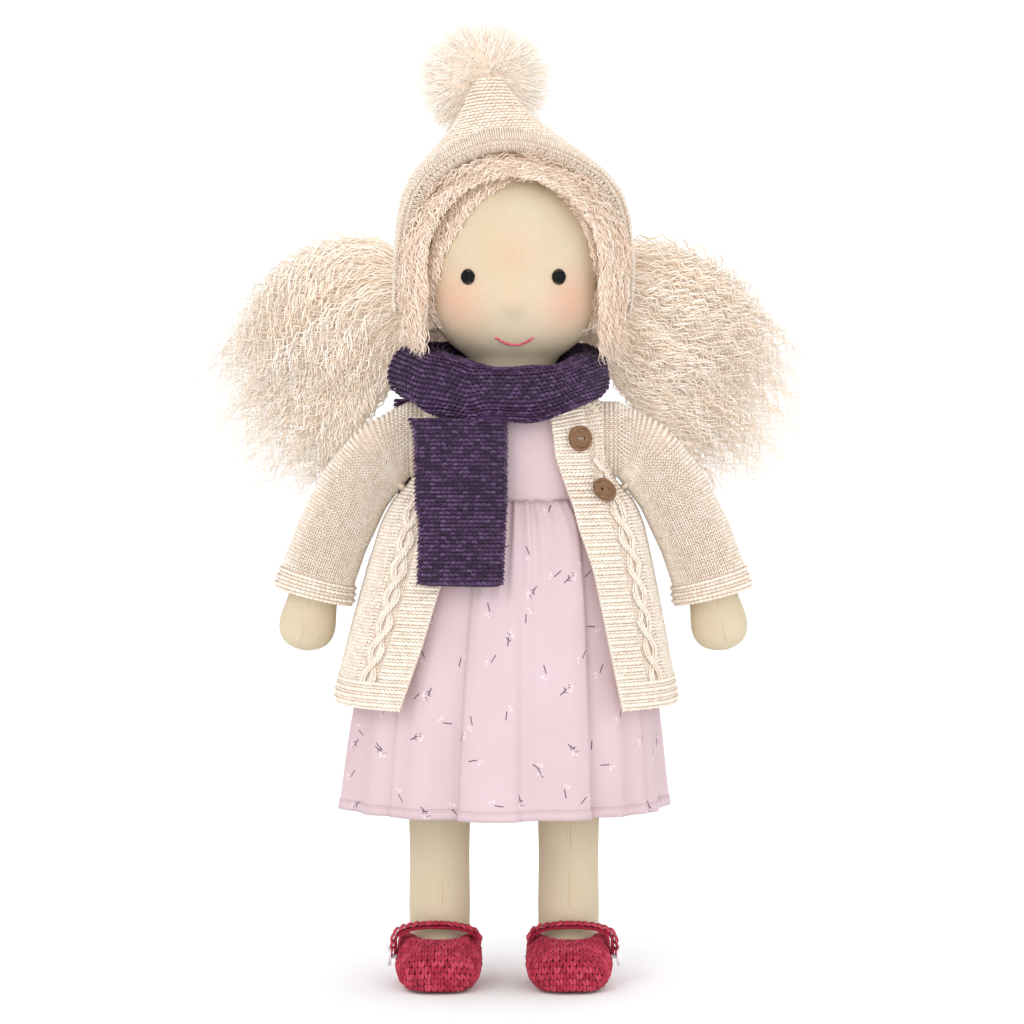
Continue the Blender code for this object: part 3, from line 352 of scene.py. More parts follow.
# The pom-pom's yarn is a lighter copy of the cream yarn, with more glow: painted light that makes up
# for the shade among its strands.
pompom_yarn = yarn("pompom_yarn", (247, 236, 222), (252, 245, 236), (254, 251, 247), hair_grain,
                   roughness=0.8, bump=0.05, glow=0.1)
band_yarn = yarn("band_yarn", (205, 165, 130), (225, 190, 160), (240, 215, 190), 1500.0)
black_thread = yarn("black_thread", (4, 4, 5), (10, 10, 11), (24, 23, 24), thread_grain,
                    roughness=0.5, sheen=0.0)
pink_thread = yarn("pink_thread", (196, 78, 96), (212, 96, 112), (226, 126, 138), thread_grain,
                   roughness=0.5)
seam_thread = yarn("seam_thread", (196, 160, 108), (214, 182, 132), (226, 198, 152),
                   thread_grain, roughness=0.6)
pink_seam_thread = yarn("pink_seam_thread", (224, 176, 184), (236, 196, 202), (244, 212, 216),
                        thread_grain, roughness=0.6)
pale_thread = yarn("pale_thread", (190, 176, 160), (222, 210, 196), (240, 232, 222),
                   thread_grain, roughness=0.6)
print("finishes:", len(bpy.data.materials))

# %% [markdown]
# Two Geometry Nodes trees do the repeating work of this doll. The first sets a small shape
# on every point of a cloud, turned to face outwards: knitted and crocheted stitches, sewing
# stitches and embroidery. Each point carries its own directions and size as attributes.

# %% Helpers for Geometry Nodes
def new_tree(name, inputs):
    tree = bpy.data.node_groups.new(name, "GeometryNodeTree")
    tree.interface.new_socket("Geometry", in_out="INPUT", socket_type="NodeSocketGeometry")
    for label, kind, value in inputs:
        socket = tree.interface.new_socket(label, in_out="INPUT", socket_type=kind)
        if value is not None:
            socket.default_value = value
    tree.interface.new_socket("Geometry", in_out="OUTPUT", socket_type="NodeSocketGeometry")
    return tree, tree.nodes.new("NodeGroupInput").outputs, tree.nodes.new("NodeGroupOutput").inputs


def named(tree, name, kind="FLOAT_VECTOR"):
    return tree_node(tree, "GeometryNodeInputNamedAttribute", {"Name": name},
                     data_type=kind).outputs["Attribute"]


def grown(name, source, tree, values):
    """Run a tree on an object, and keep the result as a plain mesh object."""
    modifier = source.modifiers.new("Grow", "NODES")
    modifier.node_group = tree
    sockets = {item.name: item.identifier for item in tree.interface.items_tree
               if item.in_out == "INPUT"}
    for label, value in values.items():
        modifier[sockets[label]] = value
    bpy.context.view_layer.update()
    graph = bpy.context.evaluated_depsgraph_get()
    mesh = bpy.data.meshes.new_from_object(source.evaluated_get(graph))
    mesh.name = name
    source.modifiers.remove(modifier)
    return in_scene(name, mesh)


def forget(thing):
    bpy.data.objects.remove(thing, do_unlink=True)


def make_stitch_tree():
    tree, given, result = new_tree("stitches_on_points", [
        ("Stitch", "NodeSocketObject", None),
        ("Yarn", "NodeSocketMaterial", None),
        ("Size", "NodeSocketFloat", 1.0),
        ("Unevenness", "NodeSocketFloat", 0.12),
        ("Seed", "NodeSocketInt", 1),
    ])
    turn = tree_node(tree, "FunctionNodeAxesToRotation",
                     {"Primary Axis": named(tree, "facing"),
                      "Secondary Axis": named(tree, "upward")},
                     primary_axis="Z", secondary_axis="Y")
    low = tree_node(tree, "ShaderNodeMath", {0: given["Unevenness"], 1: -1.0},
                    operation="MULTIPLY")
    wobble = tree_node(tree, "FunctionNodeRandomValue",
                       {0: low.outputs[0], 1: given["Unevenness"], "Seed": given["Seed"]},
                       data_type="FLOAT_VECTOR")
    loose = tree_node(tree, "FunctionNodeEulerToRotation", {0: wobble.outputs[0]})
    turned = tree_node(tree, "FunctionNodeRotateRotation",
                       {0: turn.outputs[0], 1: loose.outputs[0]}, rotation_space="LOCAL")
    size = tree_node(tree, "ShaderNodeVectorMath", {0: named(tree, "cell"), "Scale": given["Size"]},
                     operation="SCALE")
    shape = tree_node(tree, "GeometryNodeObjectInfo",
                      {"Object": given["Stitch"], "As Instance": True})
    placed = tree_node(tree, "GeometryNodeInstanceOnPoints",
                       {"Points": given["Geometry"], "Instance": shape.outputs["Geometry"],
                        "Rotation": turned.outputs[0], "Scale": size.outputs[0]})
    tint = tree_node(tree, "FunctionNodeRandomValue", {2: 0.0, 3: 1.0, "Seed": given["Seed"]},
                     data_type="FLOAT")
    stored = tree_node(tree, "GeometryNodeStoreNamedAttribute",
                       {"Geometry": placed.outputs[0], "Name": "shade", "Value": tint.outputs[1]},
                       data_type="FLOAT", domain="INSTANCE")
    real = tree_node(tree, "GeometryNodeRealizeInstances", {"Geometry": stored.outputs[0]})
    finished = tree_node(tree, "GeometryNodeSetMaterial",
                         {"Geometry": real.outputs[0], "Material": given["Yarn"]})
    tree.links.new(finished.outputs[0], result[0])
    return tree


stitch_tree = make_stitch_tree()

# %% [markdown]
# The second tree makes hair. It is given plain lines from root to tip, and turns each into
# a curve, winds it round its own line so that it crimps as mohair does, and gives it a
# thin round section that narrows to the tip. Lines keep their own phase, girth and shade.

# %% The tree for hair
def make_hair_tree():
    tree, given, result = new_tree("crimped_locks", [
        ("Hair", "NodeSocketMaterial", None),
        ("Thickness", "NodeSocketFloat", 0.4 * MM),
        ("Curl size", "NodeSocketFloat", 1.0 * MM),
        ("Curl length", "NodeSocketFloat", 8.0 * MM),
        ("Sides", "NodeSocketInt", 3),
    ])
    curves = tree_node(tree, "GeometryNodeMeshToCurve", {"Mesh": given["Geometry"]})
    along = tree_node(tree, "GeometryNodeSplineParameter")
    tangent = tree_node(tree, "GeometryNodeInputTangent").outputs[0]
    normal = tree_node(tree, "GeometryNodeInputNormal").outputs[0]
    other = tree_node(tree, "ShaderNodeVectorMath", {0: tangent, 1: normal},
                      operation="CROSS_PRODUCT").outputs[0]

    def maths(kind, first, second):
        return tree_node(tree, "ShaderNodeMath", {0: first, 1: second}, operation=kind).outputs[0]

    turns = maths("DIVIDE", along.outputs["Length"], given["Curl length"])
    angle = maths("ADD", maths("MULTIPLY", turns, 2 * pi), named(tree, "phase", "FLOAT"))
    start = maths("MINIMUM", maths("MULTIPLY", along.outputs["Factor"], 4.0), 1.0)
    reach = maths("MULTIPLY", maths("MULTIPLY", start, given["Curl size"]),
                  named(tree, "curl", "FLOAT"))
    sideways = maths("MULTIPLY", maths("SINE", angle, 0.0), reach)
    outways = maths("MULTIPLY", maths("COSINE", angle, 0.0), reach)
    first = tree_node(tree, "ShaderNodeVectorMath", {0: normal, "Scale": sideways},
                      operation="SCALE").outputs[0]
    second = tree_node(tree, "ShaderNodeVectorMath", {0: other, "Scale": outways},
                       operation="SCALE").outputs[0]
    offset = tree_node(tree, "ShaderNodeVectorMath", {0: first, 1: second},
                       operation="ADD").outputs[0]
    crimped = tree_node(tree, "GeometryNodeSetPosition",
                        {"Geometry": curves.outputs[0], "Offset": offset})
    section = tree_node(tree, "GeometryNodeCurvePrimitiveCircle",
                        {"Resolution": given["Sides"], "Radius": given["Thickness"]})
    tubes = tree_node(tree, "GeometryNodeCurveToMesh",
                      {"Curve": crimped.outputs[0], "Profile Curve": section.outputs[0],
                       "Scale": named(tree, "girth", "FLOAT"), "Fill Caps": True})
    smooth = tree_node(tree, "GeometryNodeSetShadeSmooth", {"Geometry": tubes.outputs[0]})
    real = tree_node(tree, "GeometryNodeRealizeInstances", {"Geometry": smooth.outputs[0]})
    finished = tree_node(tree, "GeometryNodeSetMaterial",
                         {"Geometry": real.outputs[0], "Material": given["Hair"]})
    tree.links.new(finished.outputs[0], result[0])
    return tree


hair_tree = make_hair_tree()
print("trees:", [group.name for group in bpy.data.node_groups])

# %% [markdown]
# A stitch is a plump grain of yarn. The knit stitch is two grains that lean apart like a V,
# and the purl stitch is one arched grain that lies across. They are drawn once, one unit
# wide and high, with few faces, because each is repeated thousands of times.

# %% Stitch shapes
def grain_of_yarn(shape, path, girths, sides, flat=1.0):
    """A closed tube through a few points that comes to a point at both ends."""
    points = [Vector(p) for p in path]
    rings = []
    for k, girth in enumerate(girths):
        centre = points[k + 1]
        heading = (points[k + 2] - points[k]).normalized()
        across = heading.cross(Vector((0, 0, 1))).normalized()
        outward = across.cross(heading).normalized()
        ring = []
        for s in range(sides):
            angle = 2 * pi * s / sides + pi / 2
            ring.append(shape.verts.new(centre + across * cos(angle) * girth
                                        + outward * sin(angle) * girth * flat))
        rings.append(ring)
    first, last = shape.verts.new(points[0]), shape.verts.new(points[-1])
    for s in range(sides):
        n = (s + 1) % sides
        shape.faces.new((first, rings[0][n], rings[0][s]))
        shape.faces.new((last, rings[-1][s], rings[-1][n]))
        for lower, upper in zip(rings, rings[1:]):
            shape.faces.new((lower[s], lower[n], upper[n], upper[s]))


def stitch_shape(name, grains):
    shape = bmesh.new()
    for path, girths, sides, flat in grains:
        grain_of_yarn(shape, path, girths, sides, flat)
    bmesh.ops.recalc_face_normals(shape, faces=shape.faces)
    return in_scene(name, mesh_from(shape, name))


def knit_legs():
    grains = []
    for side in (-1, 1):
        path = [(0.03 * side, -0.78, -0.10), (0.17 * side, -0.28, 0.16),
                (0.33 * side, 0.30, 0.16), (0.36 * side, 0.78, -0.10)]
        grains.append((path, (0.20, 0.21), 3, 1.3))
    return grains


knit_stitch = stitch_shape("knit_stitch", knit_legs())
purl_stitch = stitch_shape("purl_stitch", [
    ([(-0.62, -0.30, -0.15), (-0.26, 0.10, 0.22), (0.26, 0.10, 0.22), (0.62, -0.30, -0.15)],
     (0.30, 0.30), 4, 1.2)])
crochet_stitch = stitch_shape("crochet_stitch", [
    ([(-0.05, -0.70, -0.1), (-0.16, -0.2, 0.28), (-0.30, 0.3, 0.28), (-0.50, 0.62, 0.0)],
     (0.22, 0.22), 5, 1.2),
    ([(0.02, -0.62, 0.0), (0.20, -0.1, 0.34), (0.22, 0.34, 0.32), (0.08, 0.70, 0.05)],
     (0.24, 0.23), 5, 1.2)])
sewn_stitch = stitch_shape("sewn_stitch", [
    ([(0, -0.5, -0.2), (0, -0.3, 0.22), (0, 0.3, 0.22), (0, 0.5, -0.2)], (0.24, 0.24), 4, 1.0)])
print("faces of a knit stitch:", len(knit_stitch.data.polygons))

# %% [markdown]
# Surfaces are read off the solids. A ray is sent from far outside towards a middle point,
# and where it first meets the solid is a point of the surface. Rows of such points make a
# grid. The solids have flat facets, so the grid is eased until it is smooth.

# %% Helpers that read a surface
def solid_tree(*nodes):
    points, faces = [], []
    for name in nodes:
        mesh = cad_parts[name].data
        first = len(points)
        points += [vertex.co.copy() for vertex in mesh.vertices]
        faces += [[first + index for index in face.vertices] for face in mesh.polygons]
    return BVHTree.FromPolygons(points, faces)


def surface_at(tree, centre, way, reach=0.15):
    return tree.ray_cast(centre + way * reach, -way, reach)[0]


def as_row(point):
    """A point as three numbers, or three gaps where there is none."""
    return (np.nan,) * 3 if point is None else tuple(point)


def ring_of(tree, centre, across, along, angles, reach=0.15):
    """Points of a surface round a middle point, at angles counted from -along to across."""
    ways = [(across * sin(angle) - along * cos(angle)).normalized() for angle in angles]
    return [as_row(surface_at(tree, centre, way, reach)) for way in ways]


def eased(grid, rounds, closed):
    """Average each point with its neighbours; open edges stay where they are."""
    for _ in range(rounds):
        middle = (np.roll(grid, 1, axis=1) + np.roll(grid, -1, axis=1)) / 2
        if not closed:
            middle[:, 0], middle[:, -1] = grid[:, 0], grid[:, -1]
        middle = np.where(np.isnan(middle), grid, middle)
        grid = (grid + middle) / 2
        middle = grid.copy()
        middle[1:-1] = (grid[:-2] + grid[2:]) / 2
        middle = np.where(np.isnan(middle), grid, middle)
        grid = (grid + middle) / 2
    return grid


def filled(grid):
    """Close small holes in a grid along its rows."""
    for row in grid:
        good = ~np.isnan(row[:, 0])
        if good.any() and not good.all():
            places = np.arange(len(row))
            for axis in range(3):
                row[:, axis] = np.interp(places, places[good], row[good, axis])
    return grid


def even_row(row, count, closed, extra=()):
    """The same line with its points an equal way apart; extra rows are read along with it."""
    line = np.vstack([row, row[:1]]) if closed else row
    steps = np.linalg.norm(np.diff(line, axis=0), axis=1)
    length = np.concatenate([[0], np.cumsum(steps)])
    stop = length[-1] * (count - 1) / count if closed else length[-1]
    places = np.linspace(0, stop, count)
    results = []
    for values in (row, *extra):
        whole = np.vstack([values, values[:1]]) if closed else values
        results.append(np.stack([np.interp(places, length, whole[:, axis])
                                 for axis in range(whole.shape[1])], axis=1))
    return results, length[-1]


def line_length(row, closed=False):
    return even_row(row, 4, closed)[1]


def row_between(rows, place):
    """The row at a place counted in rows, from the two rows beside it."""
    low = int(place)
    high = min(low + 1, len(rows) - 1)
    return rows[low] * (1 - place + low) + rows[high] * (place - low)


def even_columns(grid, count):
    """Respace every column so that the rows are an equal way apart."""
    columns = [even_row(grid[:, c], count, False)[0][0] for c in range(grid.shape[1])]
    return np.stack(columns, axis=1)


def unit(vectors):
    return vectors / np.maximum(np.linalg.norm(vectors, axis=-1, keepdims=True), 1e-12)


def directions(grid, closed, outward_from):
    """The way each point faces, away from a middle, and the way its column climbs."""
    if closed:
        across = np.roll(grid, -1, axis=1) - np.roll(grid, 1, axis=1)
    else:
        across = np.gradient(grid, axis=1)
    upward = np.gradient(grid, axis=0)
    facing = unit(np.cross(across, upward))
    middle = np.asarray(outward_from)
    middle = middle[:, None, :] if middle.ndim == 2 else middle
    if np.nansum(facing * (grid - middle)) < 0:
        facing = -facing
    return facing, unit(upward)


def grid_mesh(name, grid, closed, keep=None):
    """A quad mesh through a grid, with its cloth map in metres."""
    rows, columns = grid.shape[:2]
    good = ~np.isnan(grid[:, :, 0])
    if keep is not None:
        good &= keep
    shape = bmesh.new()
    layer = shape.loops.layers.uv.new("cloth")
    points = {}
    for r, c in zip(*np.nonzero(good)):
        points[r, c] = shape.verts.new(grid[r, c])
    mid = grid[rows // 2]
    across = np.nanmean(np.linalg.norm(np.diff(mid, axis=0), axis=1))
    up = np.nanmean(np.linalg.norm(np.diff(grid[:, columns // 2], axis=0), axis=1))
    for r in range(rows - 1):
        for c in range(columns if closed else columns - 1):
            corners = [(r, c), (r, c + 1), (r + 1, c + 1), (r + 1, c)]
            keys = [(a, b % columns) for a, b in corners]
            if all(key in points for key in keys):
                face = shape.faces.new([points[key] for key in keys])
                for loop, (a, b) in zip(face.loops, corners):
                    loop[layer].uv = (b * across, a * up)
    return mesh_from(shape, name)


def add_piece(name, mesh, finish, body):
    piece = in_scene(name, mesh)
    mesh.materials.clear()
    mesh.materials.append(finish)
    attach(piece, body)
    return piece


def outward(mesh, middle):
    """Turn a mesh's faces round if most of them look towards a middle point."""
    middle = Vector(middle)
    total = sum(face.normal.dot(face.center - middle) * face.area for face in mesh.polygons)
    if total <= 0:
        mesh.flip_normals()
    return mesh


# %% [markdown]
# A cloud of stitches is a mesh of single points with three attributes: which way the stitch
# faces, which way its column climbs, and its width, height and depth. The tree above turns
# the cloud into yarn.

# %% A cloud of stitches
class StitchCloud:
    def __init__(self):
        self.places, self.facings, self.upwards, self.cells = [], [], [], []

    def add(self, place, facing, upward, width, height, depth):
        self.places.append(place)
        self.facings.append(facing)
        self.upwards.append(upward)
        self.cells.append((width, height, depth))

    def work(self, name, stitch, finish, body, slot, seed=1, unevenness=0.12):
        mesh = bpy.data.meshes.new(name + "_points")
        mesh.from_pydata([tuple(place) for place in self.places], [], [])
        for label, values in (("facing", self.facings), ("upward", self.upwards),
                              ("cell", self.cells)):
            attribute = mesh.attributes.new(label, "FLOAT_VECTOR", "POINT")
            attribute.data.foreach_set("vector", np.asarray(values, dtype=float).ravel())
        source = in_scene(name + "_points", mesh)
        piece = grown(name, source, stitch_tree,
                      {"Stitch": stitch, "Yarn": finish, "Seed": seed, "Unevenness": unevenness})
        forget(source)
        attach(piece, body)
        print(f"{name}: {len(self.places)} stitches, {len(piece.data.polygons)} faces")
        return piece


def purl_rows(cloud, grid, middle, width, depth, proud, keep):
    """Fill a closed surface with purl stitches, each row spaced for itself."""
    facing, upward = directions(grid, True, middle)
    pitch = np.linalg.norm(np.gradient(grid, axis=0), axis=2)
    for r, row in enumerate(grid):
        good = ~np.isnan(row[:, 0]) & keep[r]
        if good.sum() < 3:
            continue
        whole = good.all()
        extra = [facing[r][good], upward[r][good], pitch[r][good][:, None]]
        count = max(int(round(line_length(row[good], whole) / width)), 3)
        (line, face, up, rise), length = even_row(row[good], count, whole, extra)
        if r % 2:
            after = np.roll(line, -1, axis=0) if whole else np.vstack([line[1:], line[-1:]])
            line = (line + after) / 2
        for place, f, u, h in zip(line, face, up, rise):
            if not np.isnan(f[0]):
                cloud.add(place + f * proud, f, u, length / count, h[0] * 1.05, depth)


# %% [markdown]
# The stuffed body is a skin of jersey over wool, so it is smooth and full. Each limb starts as
# a copy of its solid, whose loose triangles are merged and subdivided. A cloth map is wrapped
# round it, so that the jersey's ribs run along the limb.

# %% Copy a solid as a soft form
def soft_copy(node_name, levels):
    shape = bmesh.new()
    shape.from_mesh(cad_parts[node_name].data)
    bmesh.ops.remove_doubles(shape, verts=shape.verts, dist=0.02 * MM)
    bmesh.ops.join_triangles(shape, faces=shape.faces, angle_face_threshold=1.2,
                             angle_shape_threshold=1.6)
    mesh = bpy.data.meshes.new(node_name + "_form")
    shape.to_mesh(mesh)
    shape.free()
    form = in_scene(node_name + "_form", mesh)
    smooth = form.modifiers.new("Smooth", "SUBSURF")
    smooth.levels = smooth.render_levels = levels
    bpy.context.view_layer.update()
    graph = bpy.context.evaluated_depsgraph_get()
    result = bpy.data.meshes.new_from_object(form.evaluated_get(graph))
    forget(form)
    result.shade_smooth()
    return result


def wrap_map(mesh, middle_x, middle_y, girth):
    """Map a round form as if a cloth were wrapped round an upright line through it."""
    layer = mesh.uv_layers.new(name="cloth")
    for face in mesh.polygons:
        first = None
        for index in face.loop_indices:
            place = mesh.vertices[mesh.loops[index].vertex_index].co
            angle = atan2(place.x - middle_x, middle_y - place.y)
            first = angle if first is None else first
            if angle - first > pi:
                angle -= 2 * pi
            elif first - angle > pi:
                angle += 2 * pi
            layer.data[index].uv = (angle * girth, place.z)


def seam(name, points, facings, body, length, width):
    """Small sewing stitches along a line on the skin, with gaps between them."""
    cloud = StitchCloud()
    (fine, fine_ways), _ = even_row(np.array(points), 200, False, [np.array(facings)])
    count = max(int(line_length(fine) / length), 3)
    (places, ways), _ = even_row(fine, count, False, [fine_ways])
    ahead = unit(np.gradient(places, axis=0))
    for place, facing, upward in zip(places, ways, ahead):
        cloud.add(place, facing, upward, width, length * 0.72, width)
    cloud.work(name, sewn_stitch, seam_thread, body, "skin_jersey", unevenness=0.06)


# %% [markdown]
# The head is a ball of wool, bound with thread at the eye line under its skin. That leaves a
# soft dent at eye height and full cheeks. The nose is one small ball of wool under the
# jersey. Each of these is a smooth swelling added to the plain form.

# %% Head
# ((across and up from the head's middle), how far it reaches, how high it is)
face_swellings = [
    ((-0.3 * MM, -15.5 * MM), 5.6 * MM, 2.5 * MM),
    ((-0.8 * MM, -14.0 * MM), 13.0 * MM, 0.9 * MM),
    ((-24.0 * MM, -20.0 * MM), 13.0 * MM, 1.3 * MM),
    ((24.0 * MM, -20.0 * MM), 13.0 * MM, 1.3 * MM),
    ((-20.1 * MM, -5.0 * MM), 6.0 * MM, -1.0 * MM),
    ((20.1 * MM, -5.0 * MM), 6.0 * MM, -1.0 * MM),
    ((0.0, -28.0 * MM), 9.0 * MM, -0.7 * MM),
    ((0.0, 18.0 * MM), 20.0 * MM, 0.6 * MM),
]


def sculpt_face(mesh):
    centre = Vector((head_x, 0, head_z))
    for vertex in mesh.vertices:
        if vertex.co.y > 0 or vertex.co.z < head_low[2] + 6 * MM:
            continue
        move = 0.0
        for (x, z), reach, height in face_swellings:
            away = ((vertex.co.x - head_x - x) ** 2 + (vertex.co.z - head_z - z) ** 2) / reach ** 2
            move += height * np.exp(-away)
        vertex.co += (vertex.co - centre).normalized() * float(move)


head_mesh = soft_copy("head", 3)
sculpt_face(head_mesh)
wrap_map(head_mesh, head_x, 0, 43 * MM)
head = add_piece("head_skin", head_mesh, face_skin, "head")
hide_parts("head")
head_tree = BVHTree.FromPolygons([v.co.copy() for v in head_mesh.vertices],
                                 [list(p.vertices) for p in head_mesh.polygons])
print("head faces:", len(head_mesh.polygons))


# %% Torso, arms and legs
def add_limb(node_name, middle_x, girth):
    mesh = soft_copy(node_name, 2)
    wrap_map(mesh, middle_x, 0, girth)
    limb = add_piece(node_name + "_skin", mesh, skin, node_name)
    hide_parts(node_name)


add_limb("torso", head_x, 35 * MM)
sides = {"left": 1, "right": -1}
shoulder_x, shoulder_z = 46.0 * MM, 246.8 * MM
hand_x, hand_z = 93.0 * MM, 158.0 * MM
leg_x = 29.2 * MM
for word, side in sides.items():
    add_limb(word + "_arm", head_x + side * hand_x, 12 * MM)
    add_limb(word + "_leg", side * leg_x, 14 * MM)


def front_line(node_name, heights, x_at):
    """Points down the front of a limb, with the way each faces."""
    tree = solid_tree(node_name)
    forward = Vector((0, -1, 0))
    found = [surface_at(tree, Vector((x_at(z), 0, z)), forward) for z in heights]
    points = [tuple(point + Vector((0, 0.2 * MM, 0))) for point in found if point]
    return points, [tuple(forward)] * len(points)


for word, side in sides.items():
    shift = 2.6 * MM if side < 0 else 1.4 * MM
    points, facings = front_line(word + "_leg", np.linspace(0.036, 0.150, 60),
                                 lambda z: side * leg_x + shift - 0.02 * (0.1 - z))
    seam(word + "_leg_seam", points, facings, word + "_leg", 1.9 * MM, 0.55 * MM)
    points, facings = front_line(word + "_arm", np.linspace(0.1535, 0.185, 40),
                                 lambda z: head_x + side * (hand_x + (0.165 - z) * 0.22))
    seam(word + "_hand_seam", points, facings, word + "_arm", 1.6 * MM, 0.4 * MM)

# %% [markdown]
# The eyes are discs of satin stitch: black threads laid side by side, each as long as the
# disc is high at that place. The mouth is one line of stem stitch, whose short stitches
# overlap like the strands of a rope.

# %% Eyes and mouth
eye_threads, rim_stitches = 13, 22


def add_eye(node_name, seed):
    low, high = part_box(node_name)
    middle = Vector([(a + b) / 2 for a, b in zip(low, high)])
    radius = (high[2] - low[2]) / 2
    facing = Vector((middle.x - head_x, middle.y, 0)).normalized()
    across = Vector((0, 0, 1)).cross(facing).normalized()
    cloud = StitchCloud()
    for k in range(eye_threads):
        offset = radius * (2 * (k + 0.5) / eye_threads - 1)
        half = (radius ** 2 - offset ** 2) ** 0.5
        raw = middle + across * offset
        point = head_tree.ray_cast(raw + facing * 0.02, -facing, 0.05)[0]
        place = point + facing * (0.3 + 0.5 * half / radius) * MM
        cloud.add(place, facing, (0, 0, 1), radius * 2 / eye_threads * 2.2, half * 2.1, 0.8 * MM)
    for k in range(rim_stitches):
        angle = 2 * pi * k / rim_stitches
        raw = middle + (across * cos(angle) + Vector((0, 0, 1)) * sin(angle)) * radius * 0.96
        point = head_tree.ray_cast(raw + facing * 0.02, -facing, 0.05)[0]
        around = -across * sin(angle) + Vector((0, 0, 1)) * cos(angle)
        cloud.add(point + facing * 0.25 * MM, facing, around, 0.8 * MM, 1.2 * MM, 0.7 * MM)
    eye = cloud.work(node_name + "_stitches", sewn_stitch, black_thread, "head", "black_thread",
                     seed, 0.03)
    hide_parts(node_name)


add_eye("left_eye", 3)
add_eye("right_eye", 4)


def add_mouth():
    low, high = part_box("mouth")
    half = (high[0] - low[0]) / 2 - 0.5 * MM
    cloud = StitchCloud()
    count = 15
    points = []
    for k in range(count):
        share = 2 * k / (count - 1) - 1
        z = low[2] - 0.9 * MM + (high[2] - low[2] - 1.4 * MM) * share ** 2
        centre = Vector((head_x + 0.6 * MM + half * 0.92 * share, 0, z))
        point = head_tree.ray_cast(centre + Vector((0, -0.08, 0)), Vector((0, 1, 0)), 0.1)[0]
        points.append(point + Vector((0, -0.25 * MM, 0)))
    for k in range(count):
        ahead = (points[min(k + 1, count - 1)] - points[max(k - 1, 0)]).normalized()
        tilted = ahead + Vector((0, 0, 0.18))
        cloud.add(points[k], (points[k].x * 8 - head_x * 8, -1, 0), tilted, 2.3 * MM, 2.6 * MM,
                  1.5 * MM)
    mouth = cloud.work("mouth_stitches", sewn_stitch, pink_thread, "head", "pink_thread", 5, 0.04)
    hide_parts("mouth")


add_mouth()

# %% [markdown]
# The dress is thin cotton with a small print of twigs and pale blossoms. It is worked out in
# the finish: a cell pattern gives each twig its own place and turn, and a few straight
# strokes and dots round that place draw it. The twigs are this lesson's own, at the size of
# the print on the real dress.

# %% Printed cotton
def stroke(finish, x, y, start, end, half_width):
    """1 inside a straight stroke between two points, and 0 outside."""
    run = Vector(end) - Vector(start)
    length = run.length
    ux, uy = run.x / length, run.y / length
    dx = sums(finish, "SUBTRACT", x, start[0])
    dy = sums(finish, "SUBTRACT", y, start[1])
    along = sums(finish, "MULTIPLY_ADD", dx, ux, sums(finish, "MULTIPLY", dy, uy))
    aside = sums(finish, "MULTIPLY_ADD", dx, -uy, sums(finish, "MULTIPLY", dy, ux))
    near = sums(finish, "LESS_THAN", sums(finish, "ABSOLUTE", aside), half_width)
    middle = sums(finish, "ABSOLUTE", sums(finish, "SUBTRACT", along, length / 2))
    return sums(finish, "MULTIPLY", near, sums(finish, "LESS_THAN", middle, length / 2))


def dot_at(finish, x, y, place, radius):
    dx = sums(finish, "SUBTRACT", x, place[0])
    dy = sums(finish, "SUBTRACT", y, place[1])
    away = sums(finish, "MULTIPLY_ADD", dx, dx, sums(finish, "MULTIPLY", dy, dy))
    return sums(finish, "LESS_THAN", away, radius * radius)


cotton_colour = (206, 182, 187)
cotton_tones = [(0.3, (203, 178, 183)), (0.7, (209, 187, 192))]


